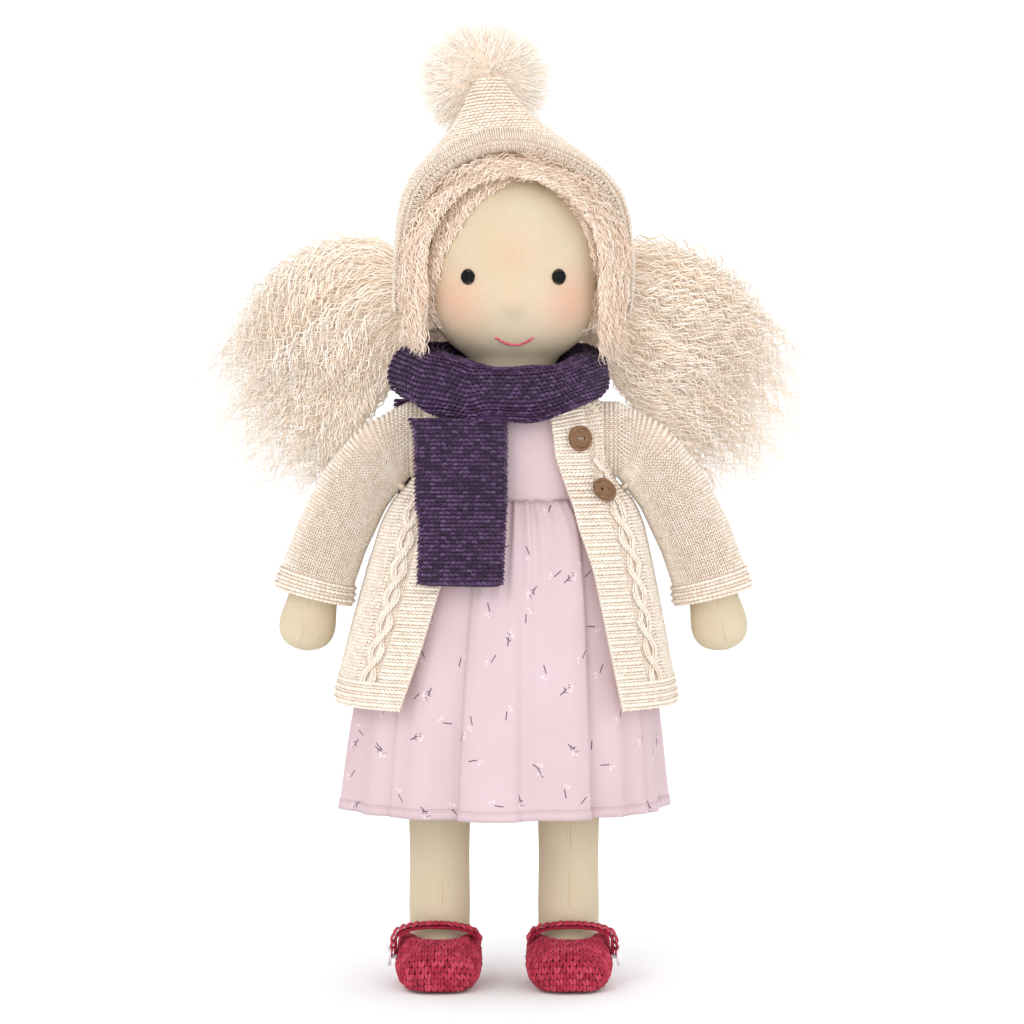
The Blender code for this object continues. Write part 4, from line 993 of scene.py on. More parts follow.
def printed_cotton():
    finish = new_finish("printed_cotton", cotton_colour, 0.6, sheen=0.1)
    cloth = cloth_place(finish)
    weave_x = node(finish, "ShaderNodeTexWave", {"Vector": cloth, "Scale": 900.0},
                   bands_direction="X").outputs["Fac"]
    weave_y = node(finish, "ShaderNodeTexWave", {"Vector": cloth, "Scale": 900.0},
                   bands_direction="Y").outputs["Fac"]
    cloud = noise(finish, cloth, 20.0, 2.0).outputs["Fac"]
    tone = ramp(finish, cloud, cotton_tones)
    wandering = noise(finish, cloth, 70.0, 1.0).outputs["Color"]
    bent = node(finish, "ShaderNodeVectorMath", {0: wandering, 1: (0.5, 0.5, 0.5)},
                operation="SUBTRACT").outputs[0]
    bent = node(finish, "ShaderNodeVectorMath", {0: bent, "Scale": 0.6 * MM},
                operation="SCALE").outputs[0]
    for number, (spacing, shift) in enumerate([(24.0 * MM, 0.0), (27.0 * MM, 0.37)]):
        moved = node(finish, "ShaderNodeVectorMath", {0: cloth, 1: (shift, shift * 0.6, 0)},
                     operation="ADD").outputs[0]
        cells = node(finish, "ShaderNodeTexVoronoi",
                     {"Vector": moved, "Scale": 1 / spacing, "Randomness": 0.8},
                     voronoi_dimensions="2D")
        local = node(finish, "ShaderNodeVectorMath", {0: moved, 1: cells.outputs["Position"]},
                     operation="SUBTRACT").outputs[0]
        local = node(finish, "ShaderNodeVectorMath", {0: local, 1: bent},
                     operation="ADD").outputs[0]
        chance = node(finish, "ShaderNodeSeparateColor", {0: cells.outputs["Color"]})
        turned = node(finish, "ShaderNodeVectorRotate",
                      {"Vector": local, "Angle": sums(finish, "MULTIPLY", chance.outputs[0],
                                                      2 * pi)}, rotation_type="Z_AXIS")
        place = node(finish, "ShaderNodeSeparateXYZ", {"Vector": turned.outputs[0]})
        x, y = place.outputs[0], place.outputs[1]
        twig = stroke(finish, x, y, (0, -2.2 * MM), (0, 1.8 * MM), 0.26 * MM)
        if number == 0:
            small = [stroke(finish, x, y, (0, -0.6 * MM), (1.3 * MM, 0.8 * MM), 0.2 * MM),
                     stroke(finish, x, y, (0, 0.3 * MM), (-1.2 * MM, 1.7 * MM), 0.2 * MM),
                     dot_at(finish, x, y, (0.4 * MM, 2.9 * MM), 0.34 * MM),
                     dot_at(finish, x, y, (-0.6 * MM, 3.5 * MM), 0.28 * MM)]
            leaf = sums(finish, "GREATER_THAN", chance.outputs[1], 0.45)
            for part in small:
                twig = sums(finish, "MAXIMUM", twig, sums(finish, "MULTIPLY", part, leaf))
        bloom = dot_at(finish, x, y, (1.9 * MM, 2.5 * MM), 0.8 * MM)
        petals = dot_at(finish, x, y, (1.0 * MM, 4.0 * MM), 0.6 * MM)
        white = sums(finish, "MULTIPLY", sums(finish, "MAXIMUM", bloom, petals), 0.3)
        tone = mixed(finish, white, tone, (244, 238, 240))
        tone = mixed(finish, sums(finish, "MULTIPLY", twig, 0.92), tone, (72, 56, 84))
    to_shader(finish, tone, "Base Color")
    height = sums(finish, "ADD", weave_x, weave_y)
    raised(finish, height, 0.12, 0.0002)
    return finish


def plain_cotton():
    finish = new_finish("plain_cotton", cotton_colour, 0.6, sheen=0.1)
    cloth = cloth_place(finish)
    cloud = noise(finish, cloth, 24.0, 2.0).outputs["Fac"]
    to_shader(finish, ramp(finish, cloud, cotton_tones), "Base Color")
    raised(finish, noise(finish, cloth, 1500.0, 2.0).outputs["Fac"], 0.15, 0.0002)
    return finish


cotton, bodice_cotton = printed_cotton(), plain_cotton()

# %% [markdown]
# The skirt is gathered into the waist seam and falls in soft folds. Its surface is read off
# the solid, row by row. Fine gathers near the waist and eight sharper pleats, five of them in
# front, are added by moving points in and out. The edge is a narrow double hem with a line of
# stitching.

# %% Skirt
waist_z = 218.3 * MM
skirt_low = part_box("dress_skirt")[0][2]
skirt_columns, skirt_rows = 320, 64
# (degrees from the front, the side its slope lies on, its depth, how far it spreads)
pleats = [(-21.0, -1, 5.4 * MM, 15.0), (40.0, 1, 6.4 * MM, 13.0), (6.0, 1, 3.0 * MM, 12.0),
          (-52.0, -1, 4.0 * MM, 12.0), (66.0, 1, 3.6 * MM, 11.0),
          (150.0, 1, 4.0 * MM, 14.0), (-120.0, -1, 4.0 * MM, 14.0), (178.0, -1, 3.4 * MM, 14.0)]


def lean_x(z):
    """The upper body leans a little to the doll's left."""
    share = min(max((z - 78.8 * MM) / (139.5 * MM), 0.0), 1.0)
    return 4.2 * MM * share ** 1.5


def pleat_depth(angle, down):
    """How far in the sharp pleats push the cloth at an angle round the doll."""
    depth = 0.0
    for place, side, reach, width in pleats:
        away = side * ((np.degrees(angle) - place + 180) % 360 - 180)
        if 0 <= away < 3 * width:
            edge = min(away / 1.5, 1.0)
            depth += reach * edge * np.exp(-away / width) * down ** 0.8
    return depth


def skirt_grid():
    tree = solid_tree("dress_skirt")
    angles = np.linspace(-pi, pi, skirt_columns, endpoint=False)
    rows = []
    for r in range(skirt_rows):
        z = skirt_low + 0.3 * MM + (waist_z - 0.4 * MM - skirt_low) * r / (skirt_rows - 1)
        centre = Vector((lean_x(z), 0, z))
        rows.append(ring_of(tree, centre, Vector((1, 0, 0)), Vector((0, 1, 0)), angles))
    grid = eased(filled(np.array(rows)), 3, True)
    for r in range(skirt_rows):
        down = 1 - r / (skirt_rows - 1)
        z = grid[r, 0, 2]
        centre = np.array((lean_x(z), 0, z))
        for c, angle in enumerate(angles):
            gathers = sin(angle * 58 + 2.0 * sin(angle * 7)) * 0.9 * MM * np.exp(-down / 0.10)
            gathers += sin(angle * 31 + 3.0 * sin(angle * 5)) * 1.2 * MM * np.exp(-down / 0.34)
            inset = 0.9 * MM * np.exp(-down / 0.25) + pleat_depth(angle, down) - gathers
            away = grid[r, c] - centre
            grid[r, c] -= away / np.linalg.norm(away) * inset
    return eased(grid, 1, True)


def cone_map(mesh, points):
    """Measure each place along its own row from the front, so that the print isn't squeezed."""
    steps = np.linalg.norm(np.roll(points, -1, axis=1) - points, axis=2)
    run = np.concatenate([np.zeros((len(points), 1)), np.cumsum(steps, axis=1)], axis=1)
    run -= run[:, points.shape[1] // 2][:, None]
    angles = np.linspace(-pi, pi, points.shape[1] + 1)
    heights = points[:, 0, 2]
    places = []
    for vertex in mesh.vertices:
        x, y, z = vertex.co
        row = float(np.interp(z, heights, np.arange(len(heights))))
        line = row_between(run, row)
        places.append((np.interp(atan2(x - lean_x(z), -y), angles, line), z, line[-1] - line[0]))
    layer = mesh.uv_layers["cloth"]
    for face in mesh.polygons:
        corners = [places[v] for v in face.vertices]
        wraps = max(c[0] for c in corners) - min(c[0] for c in corners) > 0.1
        for i, (along, z, whole) in zip(face.loop_indices, corners):
            layer.data[i].uv = (along + (whole if wraps and along < 0 else 0.0), z)


def thicken(piece, thickness):
    wall = piece.modifiers.new("Thickness", "SOLIDIFY")
    wall.thickness = thickness
    wall.offset = -1.0


skirt_middle = (0, 0, 0.15)
skirt_points = skirt_grid()
skirt_mesh = outward(grid_mesh("skirt_cloth", skirt_points, True), skirt_middle)
cone_map(skirt_mesh, skirt_points)
skirt = add_piece("skirt_cloth", skirt_mesh, cotton, "torso")
thicken(skirt, 0.5 * MM)
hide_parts("dress_skirt")


def add_hem():
    """The folded edge: a second layer on the lowest rows, and the stitching that holds it."""
    facing, _ = directions(skirt_points, True, skirt_middle)
    rows = [skirt_points[k] + facing[k] * lift * MM
            for k, lift in ((0, 0.05), (0, 0.45), (1, 0.5), (2, 0.35), (2, 0.05))]
    mesh = outward(grid_mesh("skirt_hem", np.array(rows), True), skirt_middle)
    cone_map(mesh, skirt_points)
    hem = add_piece("skirt_hem", mesh, cotton, "torso")
    cloud = StitchCloud()
    line = (skirt_points[1] + skirt_points[2]) / 2
    (places, faces), _ = even_row(line, 210, True, [facing[1]])
    ahead = unit(np.roll(places, -1, axis=0) - places)
    for place, face, way in zip(places, faces, ahead):
        cloud.add(place + face * 0.5 * MM, face, way, 0.38 * MM, 1.5 * MM, 0.4 * MM)
    stitching = cloud.work("hem_stitching", sewn_stitch, pink_seam_thread, "torso", "pink_cotton")
    return hem, stitching


hem, hem_stitching = add_hem()

# %% Bodice
def body_grid(node_name, low, high, rows, columns):
    """A closed surface round the upper body, read off one solid."""
    tree = solid_tree(node_name)
    angles = np.linspace(-pi, pi, columns, endpoint=False)
    found = []
    for r in range(rows):
        z = low + (high - low) * r / (rows - 1)
        centre = Vector((lean_x(z), 0, z))
        found.append(ring_of(tree, centre, Vector((1, 0, 0)), Vector((0, 1, 0)), angles))
    return filled(np.array(found))


bodice_low, bodice_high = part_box("dress_bodice")
bodice_points = eased(body_grid("dress_bodice", bodice_low[2] + 0.2 * MM,
                                bodice_high[2] - 1.2 * MM, 34, 120), 3, True)
bodice_points[0, :, 2] -= 2.0 * MM
bodice_points[0, :, :2] *= 0.985
away_from_shoulder = np.hypot(bodice_points[:, :, 1], bodice_points[:, :, 2] - shoulder_z)
bodice_keep = (away_from_shoulder > 12.5 * MM) | (np.abs(bodice_points[:, :, 0] - head_x) < 25 * MM)
bodice_mesh = outward(grid_mesh("bodice_cloth", bodice_points, True, keep=bodice_keep),
                      (head_x, 0, 0.24))
bodice = add_piece("bodice_cloth", bodice_mesh, bodice_cotton, "torso")
thicken(bodice, 0.5 * MM)
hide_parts("dress_bodice")

# %% [markdown]
# The cardigan is knitted in two fronts and a back. Its surface is read off all three solids
# at once: below the armpit by level rays from the middle line, and above it by a fan of
# rays that turns from level to upright over the shoulders. Each row is then cut where its
# front edge is, and spaced for itself, so that the stitches keep one size.

# %% Read the cardigan's surface
cardigan_nodes = ("cardigan_back", "cardigan_left_front", "cardigan_right_front")
cardigan_tree = solid_tree(*cardigan_nodes)
cardigan_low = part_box("cardigan_back")[0][2] + 0.6 * MM
fan_start = 238.0 * MM
fan_tilt = radians(62)


def cardigan_ray(angle, climb):
    """Where a ray at an angle round the doll meets the cardigan; climb 1 is the armpit's height."""
    if climb <= 1.0:
        z = cardigan_low + (fan_start - cardigan_low) * climb
        centre = Vector((lean_x(z), 0, z))
        way = Vector((sin(angle), -cos(angle), 0))
    else:
        tilt = (climb - 1.0) * fan_tilt
        centre = Vector((lean_x(fan_start), 0, fan_start))
        way = Vector((sin(angle) * cos(tilt), -cos(angle) * cos(tilt), sin(tilt)))
    return surface_at(cardigan_tree, centre, way)


def front_edge_angle(side, climb):
    """The smallest angle at which the cardigan is met, found by halving."""
    inner, outer = radians(8), radians(66)
    for _ in range(14):
        middle = (inner + outer) / 2
        if cardigan_ray(side * middle, climb) is None:
            inner = middle
        else:
            outer = middle
    return outer


def cardigan_strip(first_side, last_side, climbs, columns):
    """Rows of points from one edge angle to another."""
    rows = []
    for climb in climbs:
        first = first_side(climb)
        last = last_side(climb)
        row = []
        for angle in np.linspace(first, last, columns):
            point = cardigan_ray(angle, climb)
            for reach in radians(1.5) * np.arange(1, 5):
                beside = [cardigan_ray(angle + way * reach, climb) for way in (-1, 1)]
                if point is None and abs(abs(sin(angle)) - 1) < 0.01 and None not in beside:
                    point = (beside[0] + beside[1]) / 2
            row.append(as_row(point))
        rows.append(row)
    return np.array(rows)


armhole_radius = 11.8 * MM


def inside_armhole(grid):
    """Whether a point lies in the hole through which an arm passes."""
    round_axis = np.hypot(grid[:, :, 1], grid[:, :, 2] - shoulder_z)
    return (round_axis < armhole_radius) & (np.abs(grid[:, :, 0] - head_x) > 30 * MM)


side_seam, seam_lap = radians(90), radians(1.0)
climbs = np.concatenate([np.linspace(0, 1, 72), 1 + np.linspace(0.02, 1, 26)])
fronts = {
    1: cardigan_strip(lambda c: front_edge_angle(1, c), lambda c: side_seam + seam_lap, climbs, 90),
    -1: cardigan_strip(lambda c: -side_seam - seam_lap, lambda c: -front_edge_angle(-1, c), climbs,
                       90),
}
back = cardigan_strip(lambda c: side_seam, lambda c: 2 * pi - side_seam, climbs, 120)

# %% [markdown]
# Hand knitting has a clear order here. The front bands and the hem are garter stitch, whose
# ridges lie across. Beside each band runs a cable between two gutters. The rest is stocking
# stitch, in columns of small Vs. The stitches sit on a thin ground of the same yarn, which
# shows between them. Its colour is painted a little darker and warmer than the yarn: painted
# shade between the stitches.

# %% Knit a panel
stitch_wide, stitch_high, stitch_deep = 2.0 * MM, 1.55 * MM, 1.5 * MM
stitch_sink = 0.5 * MM
band_columns, cable_columns, hem_rows = 7, 6, 8
cable_turn = 8
body_middle = (head_x, 0, 205 * MM)


def knit_panel(name, grid, edge_first, edge_last, seed):
    """Knit one panel: garter hem, garter bands at the front edges, cables and Vs."""
    heights = np.linalg.norm(np.diff(grid, axis=0), axis=2)
    rise = np.nanmedian(np.nansum(heights, axis=0))
    row_count = int(rise / stitch_high)
    pitch = rise / row_count
    even = np.array([row_between(grid, place)
                     for place in np.linspace(0, grid.shape[0] - 1, row_count)])
    facing, upward = directions(even, False, body_middle)
    mask = inside_armhole(even)
    plain, ridges, ropes = StitchCloud(), StitchCloud(), StitchCloud()
    last_of_cable = band_columns + cable_columns
    for r, row in enumerate(even):
        good = ~np.isnan(row[:, 0])
        if good.sum() < 6:
            continue
        extra = [facing[r][good], upward[r][good], mask[r][good][:, None].astype(float)]
        count = max(int(round(line_length(row[good]) / stitch_wide)), 6)
        (line, face, up, hole), length = even_row(row[good], count, False, extra)
        wide = length / (count - 1)
        roped = (edge_first or edge_last) and count > last_of_cable + 4 and r >= hem_rows
        if roped:
            outer = last_of_cable if edge_first else count - 1 - last_of_cable
            roped = hole[outer, 0] < 0.3
        for c in range(count):
            if hole[c, 0] > 0.3 or np.isnan(face[c]).any():
                continue
            from_first, from_last = c, count - 1 - c
            from_edge = from_first if edge_first else from_last if edge_last else 99
            in_band = from_edge < band_columns
            in_gutter = from_edge in (band_columns, band_columns + cable_columns + 1)
            cable_place = from_edge - band_columns - 1
            if r < hem_rows or in_band or in_gutter:
                ridge = r % 2
                lift = 0.1 * MM + (0.32 * MM if ridge else -0.2 * MM)
                if in_gutter and r >= hem_rows:
                    lift = -0.4 * MM
                ridges.add(line[c] + face[c] * (lift - stitch_sink), face[c], up[c], wide * 1.1,
                           pitch * (2.0 if ridge else 1.5), stitch_deep)
            else:
                sunk = 0.75 * MM if roped and 0 <= cable_place < cable_columns else 0.0
                plain.add(line[c] - face[c] * (stitch_sink + sunk), face[c], up[c], wide * 1.04,
                          pitch * 1.02, stitch_deep)
        if roped:
            add_cable_row(ropes, line, face, up, r - hem_rows, edge_first, wide, pitch, hole)
    pieces = []
    for word, cloud, stitch in (("knit", plain, knit_stitch), ("garter", ridges, purl_stitch),
                                ("cable", ropes, sewn_stitch)):
        if cloud.places:
            pieces.append(cloud.work(name + "_" + word, stitch, cream_yarn, "torso", "cream_knit",
                                     seed + len(pieces)))
    return pieces


def add_cable_row(ropes, line, face, up, row, edge_first, wide, pitch, hole):
    """Two strands of three stitches that change sides every few rows."""
    first = band_columns + 1
    last = first + cable_columns - 1
    if len(line) < last + 3:
        return
    order = range(len(line)) if edge_first else range(len(line) - 1, -1, -1)
    low_at, high_at = order[first], order[last]
    facing = unit(face[low_at] + face[high_at])
    if hole[low_at, 0] > 0.3 or np.isnan(facing).any():
        return
    middle = (line[low_at] + line[high_at]) / 2
    across = unit(line[high_at] - line[low_at])
    turn = pi * row / cable_turn
    swing = 0.25 * cable_columns * wide
    for strand in (0, 1):
        place = cos(turn + pi * strand)
        front = sin(turn + pi * strand)
        slope = -front * pi / cable_turn * swing / pitch
        for k in (-1, 0, 1):
            offset = across * (place * swing + k * wide * 0.62)
            bulge = (0.9 + 0.65 * front - 0.25 * abs(k)) * MM
            heading = up[low_at] + across * slope * 0.8 + across * (0.35 if k % 2 else -0.1)
            ropes.add(middle + offset + facing * (bulge - stitch_sink), facing, heading,
                      wide * 1.15, pitch * 1.9, stitch_deep)


def ground_cloth(name, grid, thickness, inset):
    """The thin cloth under the stitches, whose darker colour is painted shade between them."""
    facing, _ = directions(grid, False, body_middle)
    under = grid - facing * inset
    mesh = grid_mesh(name, under, False, keep=~inside_armhole(under))
    piece = add_piece(name, outward(mesh, body_middle), cream_shade_ground, "torso")
    thicken(piece, thickness)
    return piece


def flat_size(grid):
    """The length of the middle row and the height of the median column, to a millimetre."""
    middle_row = grid[grid.shape[0] // 2]
    wide = float(np.nansum(np.linalg.norm(np.diff(middle_row, axis=0), axis=1)))
    tall = float(np.nanmedian(np.nansum(np.linalg.norm(np.diff(grid, axis=0), axis=2), axis=0)))
    return round(wide, 3), round(tall, 3)


# (its surface, whether its first and its last column is a front edge, the seed of its yarn)
panels = {
    "cardigan_left_front": (eased(fronts[1], 4, False), True, False, 11),
    "cardigan_right_front": (eased(fronts[-1], 4, False), False, True, 21),
    "cardigan_back": (eased(back, 4, False), False, False, 31),
}
for node_name, (grid, edge_first, edge_last, seed) in panels.items():
    ground = ground_cloth(node_name + "_cloth", grid, 1.8 * MM, 1.3 * MM)
    if node_name == "cardigan_back":
        half = grid.shape[1] // 2
        work = knit_panel(node_name + "_right", grid[:, :half + 1], False, False, seed)
        work += knit_panel(node_name + "_left", grid[:, half:], False, False, seed + 4)
    else:
        work = knit_panel(node_name, grid, edge_first, edge_last, seed)
    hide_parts(node_name)
    print(node_name, "flat size", flat_size(grid))

# %% [markdown]
# A sleeve is a tube of stocking stitch with a garter cuff that rolls a little. The middle
# line of the tube bends down the arm, and rays sent square to that line find the surface.
# The first rows are upright rings, which run on into the armhole under the fronts.
# Every row has the same number of stitches, so the columns of Vs run straight to the cuff.

# %% Sleeves
arm_spread, arm_drop = 49.0 * MM, 97.5 * MM
arm_bend = [(0.0, 0.0), (0.245, 0.080), (0.515, 0.249), (0.735, 0.478), (0.850, 0.637),
            (0.905, 0.756)]
sleeve_columns, cuff_length = 50, 10.0 * MM


line_start, line_end = 0.015, 0.985


def arm_line(side, count):
    """Middle points down the arm at even steps, and the heading at each."""
    bend = np.array(arm_bend)
    points = np.zeros((len(bend), 3))
    points[:, 0] = head_x + side * (shoulder_x + bend[:, 0] * arm_spread)
    points[:, 2] = shoulder_z - bend[:, 1] * arm_drop
    fine, length = even_row(points, 400, False)
    line = fine[0]
    for _ in range(1200):
        line[1:-1] = (line[:-2] + line[2:]) / 2
    last = len(line) - 1
    picked = line[np.linspace(line_start * last, line_end * last, count).astype(int)]
    return picked, unit(np.gradient(picked, axis=0)), length * (line_end - line_start)


def tube_grid(tree, points, headings, columns):
    """Rings of points round a line, each square to the line's heading."""
    angles = np.linspace(-pi, pi, columns, endpoint=False)
    along = Vector((0, 1, 0))
    rows = []
    for centre, heading in zip(points, headings):
        across = along.cross(Vector(heading)).normalized()
        rows.append(ring_of(tree, Vector(centre), across, along, angles, 0.024))
    return filled(np.array(rows))


def knit_sleeve(word, side):
    node_name = word + "_sleeve"
    points, headings, length = arm_line(side, 74)
    turned = np.clip(np.arange(len(points)) / 16, 0, 1)[:, None] ** 1.5
    headings = unit(headings * turned + np.array((side, 0, 0)) * (1 - turned))
    grid = eased(tube_grid(solid_tree(node_name), points, headings, 72), 3, True)
    inward = [np.array((side * reach * MM, 0, 0)) for reach in np.arange(9.0, 1.0, -1.5)]
    grid = np.concatenate([np.array([grid[0] - shift for shift in inward]), grid])
    middles = np.concatenate([np.array([points[0] - shift for shift in inward]), points])
    length += 9.0 * MM
    facing, upward = directions(grid, True, middles)
    mesh = grid_mesh(node_name + "_cloth", grid - facing * 1.3 * MM, True)
    outward_now = sum(face.normal.dot(face.center - Vector((head_x + side * 0.07, 0, 0.215)))
                      for face in mesh.polygons if abs(face.center.y) > 0.008)
    if outward_now < 0:
        mesh.flip_normals()
    ground = add_piece(node_name + "_cloth", mesh, cream_shade_ground, word + "_arm")
    thicken(ground, 1.2 * MM)
    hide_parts(node_name)
    columns, ridges = StitchCloud(), StitchCloud()
    row_count = int(length / stitch_high)
    cuff_rows = int(cuff_length / stitch_high)
    for r in range(row_count):
        place = r / (row_count - 1) * (grid.shape[0] - 1)
        rows = [row_between(values, place) for values in (grid, facing, upward)]
        (line, face, up), girth = even_row(rows[0], sleeve_columns, True, rows[1:])
        wide = girth / sleeve_columns
        from_cuff = row_count - 1 - r
        for spot, f, u in zip(line, face, up):
            if from_cuff < cuff_rows:
                ridge = from_cuff % 2
                roll = 1.0 * MM * (1 - abs(from_cuff - 1.5) / 6)
                lift = (0.55 * MM if ridge else -0.3 * MM) + roll * 0.6
                ridges.add(spot + f * lift, f, u, wide * 1.05, length / row_count * 1.5, 1.4 * MM)
            else:
                columns.add(spot - f * stitch_sink, f, -u, wide * 1.04,
                            length / row_count * 1.02, stitch_deep)
    work = [columns.work(node_name + "_knit", knit_stitch, cream_yarn, word + "_arm",
                         "cream_knit", 41),
            ridges.work(node_name + "_cuff", purl_stitch, cream_yarn, word + "_arm",
                        "cream_knit", 43)]


for word, side in sides.items():
    knit_sleeve(word, side)

# %% [markdown]
# The scarf is one long strip in garter stitch. Wound round the neck it lies in a thick soft
# ring, so that part is treated as padded. Both ends hang flat, and each is a sheet with
# rows of ridges across it. The ring's middle line dips in front, as the solid's does.

# %% Scarf ring
scarf_tree = solid_tree("scarf")
scarf_z, scarf_dip = 276.8 * MM, 11.5 * MM
bulge_place, bulge_width = 285, 42
scarf_near, scarf_far = 23.0 * MM, 44.5 * MM
ring_columns, ring_rows = 150, 28


def scarf_section(angle):
    """The middle point of the ring at an angle from the front, and its outward direction."""
    front = ((1 + cos(angle)) / 2) ** 1.5
    aside = (np.degrees(angle) - bulge_place + 180) % 360 - 180
    bulge = np.exp(-(aside / bulge_width) ** 2)
    far = scarf_far + 15.0 * MM * bulge
    z = scarf_z - scarf_dip * front + 2.5 * MM * bulge
    out = Vector((sin(angle), -cos(angle), 0))
    return Vector((head_x, 0, z)) + out * (far + scarf_near) / 2, out


def scarf_grid():
    """The ring's surface, in rows that run round the neck, and its middle points."""
    sections = [scarf_section(angle)
                for angle in np.linspace(0, 2 * pi, ring_columns, endpoint=False)]
    columns = []
    for centre, out in sections:
        column = []
        for turn in np.linspace(-pi, pi, ring_rows, endpoint=False):
            way = (out * cos(turn) + Vector((0, 0, 1)) * sin(turn)).normalized()
            column.append(as_row(surface_at(scarf_tree, centre, way, 0.030)))
        columns.append(column)
    grid = eased(filled(np.array(columns)), 2, True).transpose(1, 0, 2)
    return eased(grid, 3, True), np.array([centre for centre, _ in sections])


ring_grid, ring_middles = scarf_grid()
wrapped = np.concatenate([ring_grid, ring_grid[:1]])
away = unit(wrapped - ring_middles[None])
folds = 0.7 * MM * np.sin(np.linspace(0, 5 * 2 * pi, wrapped.shape[0]))[:, None, None]
wander = 0.9 * MM * np.sin(np.linspace(0, 7 * 2 * pi, wrapped.shape[1]))[None, :, None]
wrapped = wrapped - away * (1.4 * MM) + away * (folds + wander) * 0.6


def tube_mesh(name, grid):
    """A ring that is closed both ways."""
    mesh = grid_mesh(name, grid, True)
    shape = bmesh.new()
    shape.from_mesh(mesh)
    bmesh.ops.remove_doubles(shape, verts=shape.verts, dist=0.001 * MM)
    bmesh.ops.recalc_face_normals(shape, faces=shape.faces)
    shape.to_mesh(mesh)
    shape.free()
    mesh.shade_smooth()
    return mesh


scarf_ring = add_piece("scarf_wrap", tube_mesh("scarf_wrap", wrapped), purple_shade_ground, "torso")
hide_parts("scarf")


def knit_scarf_ring():
    cloud = StitchCloud()
    girth = np.linalg.norm(np.diff(wrapped, axis=0), axis=2).sum(axis=0).mean()
    row_count = int(girth / (1.75 * MM))
    ring = even_columns(wrapped, row_count + 1)[:-1]
    outward_now = unit(ring - ring_middles[None])
    upward = unit(np.roll(ring, -1, axis=0) - np.roll(ring, 1, axis=0))
    across = unit(np.roll(ring, -1, axis=1) - np.roll(ring, 1, axis=1))
    facing = unit(np.cross(across, upward))
    facing = np.where((facing * outward_now).sum(axis=2, keepdims=True) < 0, -facing, facing)
    for r in range(row_count):
        count = int(line_length(ring[r], True) / (2.3 * MM))
        (line, face, up), length = even_row(ring[r], count, True, [facing[r], upward[r]])
        if r % 2:
            line = (line + np.roll(line, -1, axis=0)) / 2
        for place, f, u in zip(line, face, up):
            lift = 0.75 * MM if r % 2 else 0.45 * MM
            cloud.add(place + f * lift, f, u, length / count * 1.05, girth / row_count * 1.35,
                      1.7 * MM)
    cloud.work("scarf_wrap_stitches", purl_stitch, purple_yarn, "torso", "purple_knit", 51, 0.22)


knit_scarf_ring()

# %% Scarf ends
def knit_tail(name, low_z, high_z, middle_x, half_width, side, seed):
    """A hanging end that lies on the cloth under it: side -1 is in front, and 1 behind."""
    rows, columns = 40, 22
    width = np.linspace(-1, 1, columns)
    grid = np.full((rows, columns, 3), np.nan)
    for r, z in enumerate(np.linspace(low_z, high_z, rows)):
        for c, share in enumerate(width):
            x = middle_x(z) + half_width(z) * share * 0.96
            point = scarf_tree.ray_cast(Vector((x, side * 0.12, z)), Vector((0, -side, 0)), 0.12)[0]
            if point is not None:
                grid[r, c] = point
    grid = eased(filled(grid), 2, False)
    bumpy = np.sin(np.linspace(0, 3 * pi, rows))[:, None] * np.sin(width * 2.2)[None] * 0.5 * MM
    grid[:, :, 1] += bumpy
    grid[:, :, 1] -= side * 1.0 * MM
    mesh = grid_mesh(name, grid, False)
    if (mesh.polygons[0].normal.y > 0) != (side > 0):
        mesh.flip_normals()
    ground = add_piece(name, mesh, purple_shade_ground, "torso")
    thicken(ground, 3.4 * MM)
    cloud = StitchCloud()
    height = high_z - low_z
    row_count = int(height / (1.75 * MM))
    face = Vector((0, side, 0))
    for r in range(row_count):
        place = (r + 0.5) / row_count * (rows - 1)
        row = row_between(grid, place)
        (line,), length = even_row(row, int(np.linalg.norm(row[-1] - row[0]) / (2.2 * MM)), False)
        wide = length / (len(line) - 1)
        for k, point in enumerate(line):
            shift = wide * (0.12 if r % 2 else -0.12)
            spot = point + np.array((shift, side * (0.55 if r % 2 else 0.3) * MM, 0))
            cloud.add(spot, face, (0, 0, 1), wide * 1.05, height / row_count * 1.35, 1.7 * MM)
        for point in line:
            spot = point + np.array((0, -side * 3.9 * MM, 0))
            cloud.add(spot, -face, (0, 0, 1), wide * 1.05, height / row_count * 1.35, 1.7 * MM)
        for edge, way in ((line[0], -1), (line[-1], 1)):
            for depth in (0.7, 2.2):
                spot = edge + np.array((way * 0.4 * MM, -side * depth * MM, 0))
                cloud.add(spot, (way, 0, 0), (0, 0, 1), 1.7 * MM, height / row_count * 1.35,
                          1.7 * MM)
    work = cloud.work(name + "_stitches", purl_stitch, purple_yarn, "torso", "purple_knit", seed,
                      0.22)
    flat = (round(float(2 * half_width((low_z + high_z) / 2)), 3), round(float(height), 3))


front_tail_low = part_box("scarf")[0][2] + 0.8 * MM
knit_tail("scarf_front_end", front_tail_low, 255.0 * MM,
          lambda z: lean_x(z) - 24.5 * MM + (262 * MM - z) * 0.012,
          lambda z: 21.5 * MM - (262 * MM - z) * 0.015, -1, 61)
knit_tail("scarf_back_end", 213.0 * MM, 262.0 * MM,
          lambda z: lean_x(z) - 39.0 * MM, lambda z: 15.0 * MM, 1, 71)

# %% [markdown]
# The hat is a pixie bonnet. From the head's middle, rays at growing angles from the tip
# find its surface, and for each direction the brim is where the rays stop meeting it. Rows
# of purl stitch run round the cone. The brim itself is a band of smooth stitches, which
# stand square to the edge.

